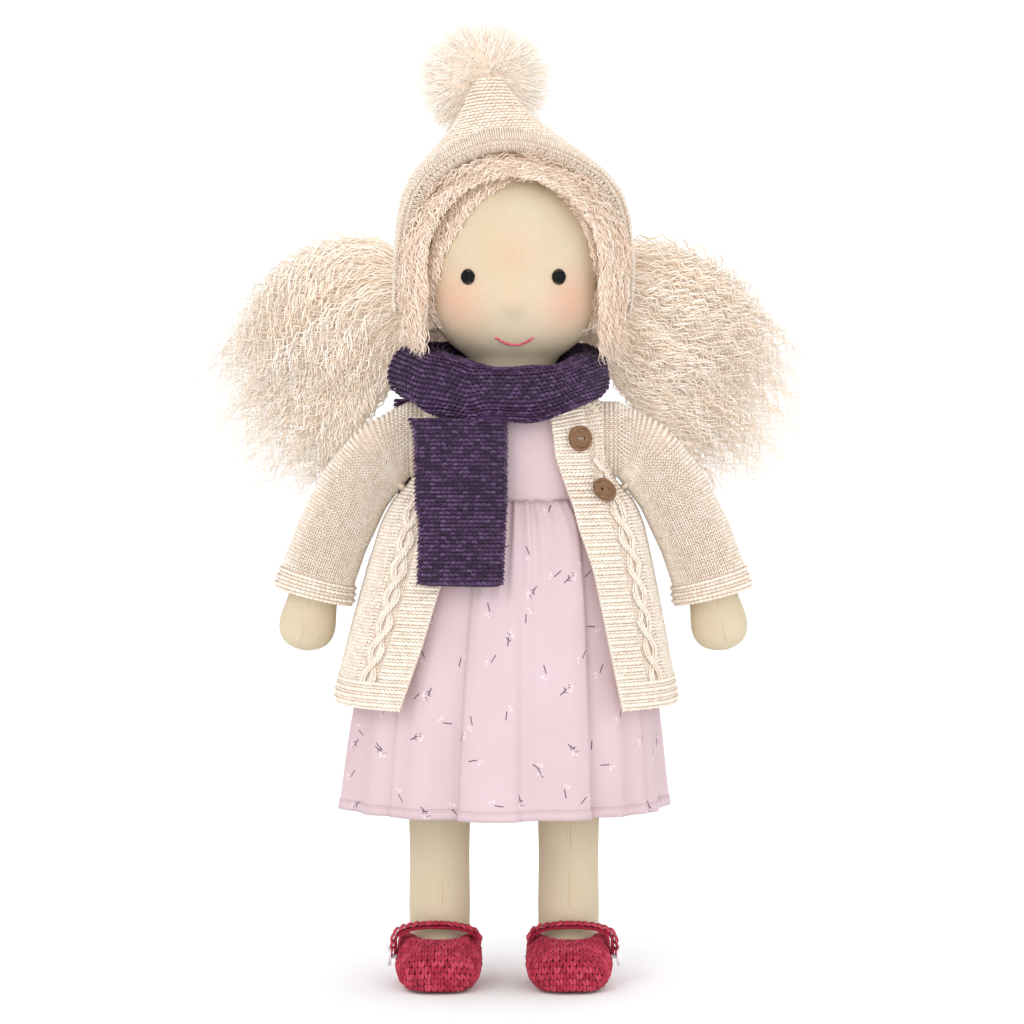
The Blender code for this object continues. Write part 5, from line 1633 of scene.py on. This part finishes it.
# %% Read the hat's surface
hat_tree = solid_tree("hat")
hat_middle = Vector((head_x, 2.0 * MM, head_z))
hat_axis = (Vector((head_x - 11.0 * MM, 5.0 * MM, head_z + 83.0 * MM)) - hat_middle).normalized()
hat_side = Vector((0, 1, 0)).cross(hat_axis).normalized()
hat_front = hat_axis.cross(hat_side).normalized()
if hat_front.y > 0:
    hat_front = -hat_front
hat_columns = 200
hat_angles = np.linspace(0, 2 * pi, hat_columns, endpoint=False) + pi / hat_columns


def hat_ray(azimuth, polar):
    way = (hat_axis * cos(polar) + (hat_front * cos(azimuth) + hat_side * sin(azimuth))
           * sin(polar)).normalized()
    return surface_at(hat_tree, hat_middle, way, 0.13)


def brim_polar(azimuth):
    inner, outer = radians(12), radians(170)
    for _ in range(16):
        middle = (inner + outer) / 2
        if hat_ray(azimuth, middle) is None:
            outer = middle
        else:
            inner = middle
    return inner


brim_at = np.array([brim_polar(azimuth) for azimuth in hat_angles])
fine_polars = np.radians(np.linspace(3, 128, 220))
fine = np.full((len(fine_polars), hat_columns, 3), np.nan)
for r, polar in enumerate(fine_polars):
    for c, azimuth in enumerate(hat_angles):
        if polar < brim_at[c]:
            point = hat_ray(azimuth, polar)
            if point is not None:
                fine[r, c] = point
steps = np.linalg.norm(np.diff(fine, axis=0), axis=2)
mean_steps = np.nanmedian(steps, axis=1)
mean_steps = np.where(np.isnan(mean_steps), 0, mean_steps)
run = np.concatenate([[0], np.cumsum(mean_steps)])
print("hat rows reach", round(run[-1] * 1000), "mm from the tip; brim", np.degrees(brim_at.min()))


def read_rows(grid, run, pitch):
    """Rows at even distances along the surface, between rows that were read finely."""
    rows = []
    for target in np.arange(0.4 * pitch, run[-1], pitch):
        high = int(np.searchsorted(run, target))
        low = high - 1
        share = (target - run[low]) / max(run[high] - run[low], 1e-9)
        rows.append(grid[low] * (1 - share) + grid[high] * share)
    return np.array(rows)


# %% Knit the hat
def extend_to_brim(grid):
    """Bring the first missing point of each column to the brim's edge."""
    result = grid.copy()
    for c in range(grid.shape[1]):
        missing = np.nonzero(np.isnan(grid[:, c, 0]))[0]
        edge = hat_ray(hat_angles[c], brim_at[c] - 0.0005)
        if len(missing) and edge is not None:
            result[missing[0], c] = edge
    return result


def brim_line(inward):
    """Points of the hat all along its edge, by a small angle inside it."""
    return np.array([tuple(hat_ray(azimuth, brim_at[c] - inward))
                     for c, azimuth in enumerate(hat_angles)])


band_width = 9.5 * MM


def knit_hat():
    rows = read_rows(fine, run, 1.95 * MM)
    edge, inside = brim_line(0.0008), brim_line(0.16)
    for _ in range(3):
        edge = (np.roll(edge, 1, axis=0) + edge * 2 + np.roll(edge, -1, axis=0)) / 4
    middle = tuple(hat_middle)
    ground_grid = extend_to_brim(read_rows(fine, run, 2.6 * MM))
    facing, _ = directions(ground_grid, True, middle)
    away = unit(ground_grid - np.array(middle))
    facing = np.where(np.isnan(facing), away, facing)
    mesh = grid_mesh("hat_cloth", ground_grid - facing * 0.9 * MM, True)
    cap = bmesh.new()
    cap.from_mesh(mesh)
    bmesh.ops.holes_fill(cap, edges=[e for e in cap.edges if e.is_boundary and
                                     (e.verts[0].co - hat_middle).normalized().dot(hat_axis) > 0.99],
                         sides=hat_columns + 2)
    bmesh.ops.recalc_face_normals(cap, faces=cap.faces)
    cap.to_mesh(mesh)
    cap.free()
    mesh.shade_smooth()
    ground = add_piece("hat_cloth", outward(mesh, middle), cream_shade_ground, "hat")
    thicken(ground, 1.4 * MM)
    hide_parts("hat")
    keep = np.ones(rows.shape[:2], dtype=bool)
    for r in range(rows.shape[0]):
        for c in range(rows.shape[1]):
            if not np.isnan(rows[r, c, 0]):
                near = np.linalg.norm(edge - rows[r, c], axis=1).min()
                keep[r, c] = near > band_width
    cloud = StitchCloud()
    purl_rows(cloud, rows, middle, 2.4 * MM, 2.2 * MM, -0.35 * MM, keep)
    body_work = cloud.work("hat_purl", purl_stitch, cream_yarn, "hat", "cream_knit", 81, 0.16)
    band = StitchCloud()
    inward = inside - edge
    (line, ways), _ = even_row(edge, int(np.linalg.norm(
        edge - np.roll(edge, 1, axis=0), axis=1).sum() / (1.9 * MM)), True, [inward])
    runs = unit(np.roll(line, -1, axis=0) - np.roll(line, 1, axis=0))
    for point, way, run_way in zip(line, ways, runs):
        way = unit(way - run_way * np.dot(way, run_way))
        square = unit(np.cross(run_way, way))
        if np.dot(square, point - np.array(middle)) < 0:
            square = -square
        for k in range(6):
            raw = Vector(point + way * (k + 0.35) * 1.75 * MM)
            out = Vector(square)
            hit = hat_tree.ray_cast(raw + out * 0.012, -out, 0.02)[0]
            spot = hit if hit is not None else raw
            lift = (0.2 * MM if k == 0 else 0.35 * MM) + (0.45 * MM if k in (1, 2) else 0)
            band.add(spot + out * lift, out, way, 1.95 * MM, 1.8 * MM, 1.5 * MM)
        for depth in (0.5, 2.2):
            spot = Vector(point) - out * depth * MM - Vector(way) * 0.6 * MM
            band.add(spot, -Vector(way), out, 1.95 * MM, 2.6 * MM, 1.6 * MM)
    band_work = band.work("hat_brim", knit_stitch, cream_yarn, "hat", "cream_knit", 83, 0.10)


knit_hat()

# %% [markdown]
# The pom-pom is a ball of cut yarn ends. Every end starts near the middle and runs outwards
# with a slight bend, and the outer ends differ in length, which gives the soft rim. The
# lines are plain polylines here; the tree for hair turns them into crimped strands.

# %% Helpers for hair
def strands(name, lines, finish, body, thickness, curl_size, curl_length, seed,
            phases=None, girths=None, shades=None, curls=None, curl_growth=0.0):
    """Grow hair along lines, which are arrays of points from root to tip."""
    random = np.random.default_rng(seed)
    count = len(lines)
    phases = random.uniform(0, 2 * pi, count) if phases is None else phases
    girths = random.uniform(0.75, 1.2, count) if girths is None else girths
    shades = random.uniform(0, 1, count) if shades is None else shades
    curls = random.uniform(0.6, 1.3, count) if curls is None else curls
    points, edges = [], []
    columns = {"phase": [], "girth": [], "shade": [], "curl": []}
    for k, line in enumerate(lines):
        first = len(points)
        points += [tuple(point) for point in line]
        edges += [(first + j, first + j + 1) for j in range(len(line) - 1)]
        taper = np.clip((1 - np.linspace(0, 1, len(line))) * 3.0, 0.25, 1.0)
        columns["girth"] += list(girths[k] * taper)
        columns["phase"] += [phases[k]] * len(line)
        columns["shade"] += [shades[k]] * len(line)
        columns["curl"] += list(curls[k] * (1 + curl_growth * np.linspace(-0.5, 1, len(line))))
    mesh = bpy.data.meshes.new(name + "_lines")
    mesh.from_pydata(points, edges, [])
    for label, values in columns.items():
        attribute = mesh.attributes.new(label, "FLOAT", "POINT")
        attribute.data.foreach_set("value", np.asarray(values, dtype=float))
    source = in_scene(name + "_lines", mesh)
    piece = grown(name, source, hair_tree,
                  {"Hair": finish, "Thickness": thickness, "Curl size": curl_size,
                   "Curl length": curl_length, "Sides": 3})
    forget(source)
    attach(piece, body)
    print(f"{name}: {count} strands, {len(piece.data.polygons)} faces")
    return piece


# %% Pom-pom
pompom_low, pompom_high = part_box("pompom")
pompom_middle = (np.array(pompom_low) + np.array(pompom_high)) / 2
pompom_half = (np.array(pompom_high) - np.array(pompom_low)) / 2
pompom_ends = 2600


def add_pompom():
    random = np.random.default_rng(7)
    core = bmesh.new()
    bmesh.ops.create_icosphere(core, subdivisions=4, radius=1.0)
    for vertex in core.verts:
        vertex.co = Vector(pompom_middle + np.array(vertex.co) * pompom_half * 0.74)
    ball = add_piece("pompom_core", mesh_from(core, "pompom_core"), cream_shade_ground, "hat")
    lines = []
    for _ in range(pompom_ends):
        way = unit(random.normal(size=3))
        aside = unit(np.cross(way, random.normal(size=3)))
        reach = 1.0 + random.uniform(-0.10, 0.16)
        bend = random.uniform(-0.16, 0.16)
        line = []
        for share in np.linspace(0.5, 1.0, 8):
            drop = np.array((0, 0, -0.05)) * (share - 0.5) ** 2
            line.append(pompom_middle + (way * share * reach + aside * bend * (share - 0.5)
                                         + drop) * pompom_half)
        lines.append(line)
    wool = strands("pompom_wool", lines, pompom_yarn, "hat", 0.42 * MM,
                   0.45 * MM, 7 * MM, 8)
    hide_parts("pompom")


add_pompom()

# %% [markdown]
# The hair that frames the face lies flat on the head. Each short lock starts at a random
# place of the solid cap and walks along its surface, step by step: outwards and down, side
# by side with the brim of the hat. Near the forehead the locks are shorter and curl more.

# %% Hair on the head
cap_tree = solid_tree("hair_cap")
cap_mesh = soft_copy("hair_cap", 1)
for vertex in cap_mesh.vertices:
    vertex.co -= vertex.normal * 1.0 * MM
cap_ground = add_piece("hair_cap_cloth", cap_mesh, hair_shade_ground, "head")
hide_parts("hair_cap")


def scattered(node_name, count, seed):
    """Random points spread evenly over a solid's faces, each with its facing direction."""
    random = np.random.default_rng(seed)
    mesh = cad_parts[node_name].data
    areas = np.array([face.area for face in mesh.polygons])
    picked = random.choice(len(areas), size=count, p=areas / areas.sum())
    places = []
    for index in picked:
        face = mesh.polygons[int(index)]
        corners = [np.array(mesh.vertices[v].co) for v in face.vertices[:3]]
        a, b = random.uniform(size=2)
        if a + b > 1:
            a, b = 1 - a, 1 - b
        places.append((corners[0] + (corners[1] - corners[0]) * a
                       + (corners[2] - corners[0]) * b, np.array(face.normal)))
    return places


def cap_locks(count, steps, step, seed):
    random = np.random.default_rng(seed)
    lines, curls, shades = [], [], []
    middle = np.array((head_x, 0, head_z))
    for place, facing in scattered("hair_cap", count, seed):
        if np.dot(facing, place - middle) < 0:
            continue
        side = 1 if place[0] > head_x + random.normal() * 3 * MM else -1
        turn = random.normal() * 0.28
        height = random.uniform(-0.6, 0.9) * MM
        if place[1] < -4 * MM:
            height += random.uniform(0, 2.4) * MM
        point = Vector(place)
        line = []
        at_forehead = place[2] > head_z + 26 * MM and place[1] < -8 * MM
        length = steps - (3 if at_forehead else 0)
        for k in range(length):
            hit = cap_tree.find_nearest(point)
            normal = hit[1]
            if normal.dot(hit[0] - Vector(middle)) < 0:
                normal = -normal
            arch = height + 0.9 * MM * sin(pi * k / (length - 1))
            line.append(hit[0] + normal * arch)
            x, z = hit[0].x - head_x, hit[0].z - head_z
            flow = Vector((side * max(z, 0) + side * 0.004, 0.006, -abs(x) - 0.004))
            flow -= normal * flow.dot(normal)
            flow = flow.normalized()
            other = normal.cross(flow)
            way = (flow * cos(turn) + other * sin(turn)).normalized()
            turn += random.normal() * 0.10
            point = hit[0] + way * step
            if point.z < head_z - 28 * MM:
                break
        if len(line) > 3:
            lines.append(line)
            curls.append(random.uniform(1.0, 2.2) if at_forehead else random.uniform(0.5, 1.2))
            shades.append(random.uniform(0, 1))
    return strands("cap_locks", lines, cap_mohair, "head", 0.34 * MM, 0.75 * MM,
                   6.5 * MM, seed + 1, curls=curls, shades=shades)


cap_hair = cap_locks(4200, 12, 2.0 * MM, 91)


def front_point(x, z, lift):
    """The nearest point of the head or its hair as seen from in front."""
    start = Vector((head_x + x, -0.12, head_z + z))
    hits = [tree.ray_cast(start, Vector((0, 1, 0)), 0.15)[0] for tree in (cap_tree, head_tree)]
    hits = [hit for hit in hits if hit is not None]
    if not hits:
        return None
    nearest = min(hits, key=lambda hit: hit.y)
    out = (nearest - Vector((head_x, 0, head_z))).normalized()
    return nearest + out * lift


def hairline_reach(angle):
    """How far from the face's middle the hair begins, at an angle from straight up."""
    for reach in np.arange(26, 50, 0.5) * MM:
        start = Vector((head_x + sin(angle) * reach, -0.12, head_z + cos(angle) * reach))
        on_hair = cap_tree.ray_cast(start, Vector((0, 1, 0)), 0.15)[0]
        on_head = head_tree.ray_cast(start, Vector((0, 1, 0)), 0.15)[0]
        if on_hair is not None and (on_head is None or on_hair.y < on_head.y):
            return reach
    return None


# (degrees from straight up towards the doll's left, how far the hair keeps from the middle)
hairline = [(-122, 43), (-107, 38), (-88, 32), (-60, 28), (-42, 29), (-27, 31.5), (-13, 33),
            (4, 38), (15, 39.5), (30, 37), (44, 36), (61, 34.5), (78, 34), (98, 38), (116, 43)]


def hair_begins(angle):
    places, reaches = zip(*hairline)
    return float(np.interp(np.degrees(angle), places, reaches)) * MM


def fringe_locks(count, seed):
    """Short curls that soften the line where the hair begins."""
    random = np.random.default_rng(seed)
    lines, curls, shades = [], [], []
    for _ in range(count):
        angle = random.uniform(-2.1, 2.1)
        reach = hairline_reach(angle)
        if reach is None:
            continue
        side = 1 if angle > 0 else -1
        at_top = abs(angle) < 0.9
        inner = min(hair_begins(angle), reach)
        start = inner + (reach + 6.0 * MM - inner) * random.uniform(0.02, 1.0) ** 1.3
        stop = start - random.uniform(-1.0, 3.0) * MM
        swing = side * random.uniform(0.10, 0.30) if random.uniform() < 0.85 else -side * 0.12
        lift = random.uniform(0.3, 2.2) * MM
        line = []
        for share in np.linspace(0, 1, 9):
            now = angle + swing * share
            away = max(start + (stop - start) * share, min(hair_begins(now), start))
            arch = lift * (0.4 + 0.6 * sin(pi * share))
            point = front_point(sin(now) * away, cos(now) * away, arch)
            if point is None:
                break
            line.append(point)
        if len(line) == 9:
            lines.append(line)
            curls.append(random.uniform(0.9, 1.9) if at_top else random.uniform(0.5, 1.0))
            shades.append(random.uniform(0, 1))
    return strands("fringe_locks", lines, cap_mohair, "head", 0.30 * MM, 0.8 * MM,
                   5.0 * MM, seed + 1, curls=curls, shades=shades)


fringe = fringe_locks(2200, 95)


def hanging_locks(count, seed):
    """Locks that leave the cap's lower edge at the sides and the nape and hang to the scarf."""
    random = np.random.default_rng(seed)
    lines = []
    for _ in range(count):
        angle = random.uniform(radians(58), radians(302))
        away = Vector((sin(angle), -cos(angle), 0))
        start_z = head_z - random.uniform(16, 26) * MM
        hit = cap_tree.ray_cast(Vector((head_x, 0, start_z)) + away * 0.09, -away, 0.09)[0]
        if hit is None:
            continue
        side = Vector((-away.y, away.x, 0)) * random.normal() * 0.12
        length = random.uniform(12, 20) * MM
        lift = random.uniform(-1.5, 2.0) * MM
        lines.append([hit + away * (lift + 2.0 * MM * share) + side * length * share
                      - Vector((0, 0, length * share)) for share in np.linspace(0, 1, 9)])
    return strands("hanging_locks", lines, cap_mohair, "head", 0.36 * MM, 0.9 * MM,
                   6.5 * MM, seed + 1)


nape = hanging_locks(1500, 97)

# %% [markdown]
# A bunch fans out from its tie. Each clump of locks gets its own tip, which is a random place
# on the solid, and runs there from the root: it spreads early and then lies along its
# neighbours. Locks of one clump share their waves, as hair that was wound on a rod does, and
# the waves grow towards the tips. Some clumps are loose and reach past the solid.

# %% Bunches
clumps, locks_in_clump, lock_steps = 330, 4, 26


def bunch_core(node_name, root):
    """The solid, drawn in a little, so that hair covers it on all sides."""
    core = soft_copy(node_name, 1)
    low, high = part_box(node_name)
    middle = (Vector(low) + Vector(high)) / 2
    heart = Vector(root).lerp(middle, 0.75) + Vector((0, 5 * MM, 0))
    for vertex in core.vertices:
        share = min(max((abs(vertex.co.x) - 0.062) / 0.02, 0.0), 1.0)
        vertex.co = middle.lerp(heart, share) + (vertex.co - middle) * (1.0 - 0.6 * share)
        vertex.co.yz = vertex.co.yz.lerp(Vector(root).yz, 0.35 * (1 - share))
    ball = add_piece(node_name + "_core", core, hair_shade_ground, "head")
    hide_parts(node_name)
    return middle


# Above this height the hair may lie over the shoulder, and below it, it keeps behind the arm.
over_arm = 264 * MM


def add_bunch(word, side, seed):
    node_name = word + "_bunch"
    random = np.random.default_rng(seed)
    root = np.array((side * 45.0, 27.0, 299.0)) * MM
    middle = np.array(bunch_core(node_name, root))
    axis = unit(middle + np.array((0, 0, -8 * MM)) - root)
    lines, phases, shades = [], [], []
    for place, facing in scattered(node_name, clumps * 2, seed + 5):
        whole = place - root
        along = np.dot(whole, axis)
        if along < 26 * MM or len(lines) >= clumps * locks_in_clump:
            continue
        aside = whole - axis * along
        phase, shade = random.uniform(0, 2 * pi), random.uniform(0, 1)
        loose = random.uniform() < 0.4
        past = random.uniform(4, 13) * MM if loose else random.uniform(-4, 6) * MM
        spread = random.uniform(0.42, 0.6)
        for _ in range(locks_in_clump):
            begin = root + random.uniform(-1, 1, 3) * np.array((2, 9, 6)) * MM
            begin[2] += 16 * MM * max(aside[2] / (30 * MM), -0.35)
            shift = random.normal(size=3) * 1.6 * MM
            far = along + past + random.normal() * 3 * MM
            line = []
            for share in np.linspace(0, 1, lock_steps):
                reach = share * far / along
                fan = aside * min(reach, 1.0) ** spread * (1.0 + 0.25 * max(reach - 1.0, 0))
                spot = begin * (1 - share) + (root + shift) * share + axis * far * share + fan
                spot[2] -= (9 * MM if loose else 6 * MM) * share ** 2
                drop = over_arm - spot[2]
                behind = 19 * MM + (0.3 if drop > 0 else 0.9) * drop
                if abs(spot[0]) < 120 * MM and spot[1] < behind:
                    spot[1] = behind + (behind - spot[1]) * 0.2
                line.append(spot)
            lines.append(line)
            phases.append(phase + random.normal() * 0.5)
            shades.append(np.clip(shade + random.normal() * 0.18, 0, 1))
    half = len(lines) // 2
    for number, part in enumerate((slice(0, half), slice(half, None))):
        hair = strands(f"{node_name}_locks_{number + 1}", lines[part], mohair, "head",
                       0.36 * MM, 1.6 * MM, 9.5 * MM, seed + number, phases=phases[part],
                       shades=shades[part], curl_growth=1.0)


add_bunch("left", 1, 101)
add_bunch("right", -1, 111)

# %% [markdown]
# A few turns of yarn bind each bunch. They follow one winding line round the root, thicker
# than hair and without crimp.

# %% Hair ties
def add_hair_tie(word):
    low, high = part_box(word + "_hair_tie")
    middle = (np.array(low) + np.array(high)) / 2
    radius = (high[2] - low[2]) / 2 - 0.6 * MM
    turns, steps = 5, 26
    line = []
    for k in range(turns * steps + 1):
        angle = 2 * pi * k / steps
        along = (k / (turns * steps) - 0.5) * (high[0] - low[0]) * 0.8
        line.append(middle + np.array((along, cos(angle) * radius, sin(angle) * radius)))
    tie = strands(word + "_hair_tie_yarn", [line], band_yarn, "head", 0.55 * MM,
                  0.0, 8 * MM, 5, girths=[1.0])
    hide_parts(word + "_hair_tie")


add_hair_tie("left")
add_hair_tie("right")

# %% [markdown]
# The shoes are crocheted in rounds from the sole up to the opening, and each strap carries
# two rows of the same stitch. For each direction
# round the foot, rays at growing height find the shoe from its sole to its rim. That line
# is divided into rounds, and each round carries stitches of one size.

# %% Shoes
shoe_rounds, shoe_columns = 11, 120


def shoe_grid(word, side):
    tree = solid_tree(word + "_shoe")
    middle = Vector((side * leg_x, -7.0 * MM, 8.0 * MM))
    columns = []
    for angle in np.linspace(-pi, pi, shoe_columns, endpoint=False):
        line = []
        for tilt in np.radians(np.arange(-60, 84, 1.0)):
            way = Vector((sin(angle) * cos(tilt), -cos(angle) * cos(tilt), sin(tilt)))
            point = surface_at(tree, middle, way, 0.06)
            if point is None:
                if line:
                    break
                continue
            if point.z < 1.9 * MM:
                continue
            if line and (point - line[-1]).length > 5 * MM:
                break
            if (point - middle).length < 7 * MM:
                break
            line.append(point)
        (even,), _ = even_row(np.array([tuple(p) for p in line]), shoe_rounds * 3 + 1, False)
        columns.append(even)
    grid = np.array(columns).transpose(1, 0, 2)
    for _ in range(4):
        grid = (np.roll(grid, 1, axis=1) + grid * 2 + np.roll(grid, -1, axis=1)) / 4
    return grid, np.array(middle)


def add_shoe(word, side, seed):
    grid, middle = shoe_grid(word, side)
    mesh = soft_copy(word + "_shoe", 0)
    for vertex in mesh.vertices:
        vertex.co -= vertex.normal * 0.7 * MM
        vertex.co.z = max(vertex.co.z, 0.2 * MM)
    ground = add_piece(word + "_shoe_cloth", mesh, crimson_shade_ground, word + "_leg")
    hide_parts(word + "_shoe")
    facing, upward = directions(grid, True, middle)
    rise = np.linalg.norm(np.diff(grid, axis=0), axis=2).sum(axis=0).mean() / shoe_rounds
    cloud = StitchCloud()
    for r in range(shoe_rounds):
        k = int((r + 0.5) / shoe_rounds * (grid.shape[0] - 1))
        count = int(line_length(grid[k], True) / (2.8 * MM))
        (line, face, up), length = even_row(grid[k], count, True, [facing[k], upward[k]])
        if r % 2:
            line = (line + np.roll(line, -1, axis=0)) / 2
        for place, f, u in zip(line, face, up):
            cloud.add(place + f * 0.1 * MM, f, u, length / count * 1.2, rise * 1.5, 2.2 * MM)
    rim_count = int(line_length(grid[-1], True) / (2.4 * MM))
    (line, face, up), _ = even_row(grid[-1], rim_count, True, [facing[-1], upward[-1]])
    ahead = unit(np.roll(line, -1, axis=0) - line)
    for place, f, u, way in zip(line, face, up, ahead):
        cloud.add(place + u * 0.3 * MM, unit(f + u * 0.8), way, 2.6 * MM, 3.6 * MM,
                  2.4 * MM)
    work = cloud.work(word + "_shoe_stitches", crochet_stitch, crimson_yarn, word + "_leg",
                      "crimson_crochet", seed, 0.2)


def add_strap(word, side, seed):
    node_name = word + "_shoe_strap"
    mesh = soft_copy(node_name, 0)
    for vertex in mesh.vertices:
        vertex.co -= vertex.normal * 0.3 * MM
    ground = add_piece(node_name + "_cloth", mesh, crimson_shade_ground, word + "_strap")
    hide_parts(node_name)
    tree = solid_tree(node_name)
    low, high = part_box(node_name)
    middle = Vector(((low[0] + high[0]) / 2, (low[1] + high[1]) / 2, low[2] - 4.0 * MM))
    lines = []
    for y in (-1.7, 1.7):
        line = []
        for angle in np.linspace(-0.47 * pi, 0.47 * pi, 60):
            way = Vector((sin(angle), 0, cos(angle)))
            point = surface_at(tree, middle + Vector((0, y * MM, 0)), way, 0.05)
            if point is not None:
                line.append(tuple(point))
        lines.append(np.array(line))
    cloud = StitchCloud()
    for line in lines:
        (row,), _ = even_row(line, int(line_length(line) / (2.7 * MM)), False)
        ahead = unit(np.gradient(row, axis=0))
        out = unit(row - np.array(middle))
        for place, way, face in zip(row, ahead, out):
            cloud.add(place + face * 0.1 * MM, face, way, 3.6 * MM, 3.6 * MM, 2.2 * MM)
    work = cloud.work(node_name + "_stitches", crochet_stitch, crimson_yarn, word + "_strap",
                      "crimson_crochet", seed, 0.15)


for word, side in sides.items():
    add_shoe(word, side, 121 if side > 0 else 122)
    add_strap(word, side, 123 if side > 0 else 124)

# %% [markdown]
# The buttons are hard, so the solids stay and only get a finish: turned wood with rings of
# grain for the coat, and glossy white for the shoes. Pale thread goes through the holes.

# %% Buttons
def wood_finish():
    finish = new_finish("button_wood_finish", (124, 90, 64), 0.45)
    place = object_place(finish)
    stretched = node(finish, "ShaderNodeMapping", {"Vector": place, "Scale": (1.0, 1.0, 6.0)})
    grain = noise(finish, stretched.outputs[0], 420.0, 4.0, 0.65).outputs["Fac"]
    tone = ramp(finish, grain, [(0.3, (90, 62, 44)), (0.5, (126, 92, 66)),
                                (0.72, (152, 116, 88))])
    to_shader(finish, tone, "Base Color")
    raised(finish, grain, 0.25, 0.0002)
    return finish


def white_finish():
    finish = new_finish("white_button_finish", (236, 236, 240), 0.22)
    place = object_place(finish)
    cloud = noise(finish, place, 300.0, 2.0).outputs["Fac"]
    tone = ramp(finish, cloud, [(0.35, (226, 226, 232)), (0.65, (246, 245, 247))])
    to_shader(finish, tone, "Base Color")
    finish.node_tree.nodes["Principled BSDF"].inputs["Coat Weight"].default_value = 0.4
    return finish


wood, white = wood_finish(), white_finish()
button_finishes = {"upper_button": wood, "lower_button": wood,
                   "left_shoe_button": white, "right_shoe_button": white}
for node_name, finish in button_finishes.items():
    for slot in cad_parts[node_name].material_slots:
        slot.material = finish

# %% Button thread
def add_button_thread(word):
    """Two short stitches through the holes of a coat button."""
    tree = solid_tree(word + "_button")
    low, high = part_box(word + "_button")
    middle = (Vector(low) + Vector(high)) / 2
    hit = tree.ray_cast(Vector((middle.x, low[1] - 0.02, middle.z + 1.4 * MM)), Vector((0, 1, 0)))
    cloud = StitchCloud()
    for lift in (-0.25, 0.25):
        place = Vector((middle.x, hit[0].y, middle.z)) + hit[1] * 0.25 * MM
        cloud.add(place + Vector((0, 0, lift * MM)), hit[1], (1, 0, 0.05 * lift), 0.6 * MM,
                  4.4 * MM, 0.8 * MM)
    cloud.work(word + "_button_thread", sewn_stitch, pale_thread, "torso", "button_wood", 131, 0.02)


add_button_thread("upper")
add_button_thread("lower")

# %% Put the sources away
for source in (knit_stitch, purl_stitch, crochet_stitch, sewn_stitch):
    forget(source)
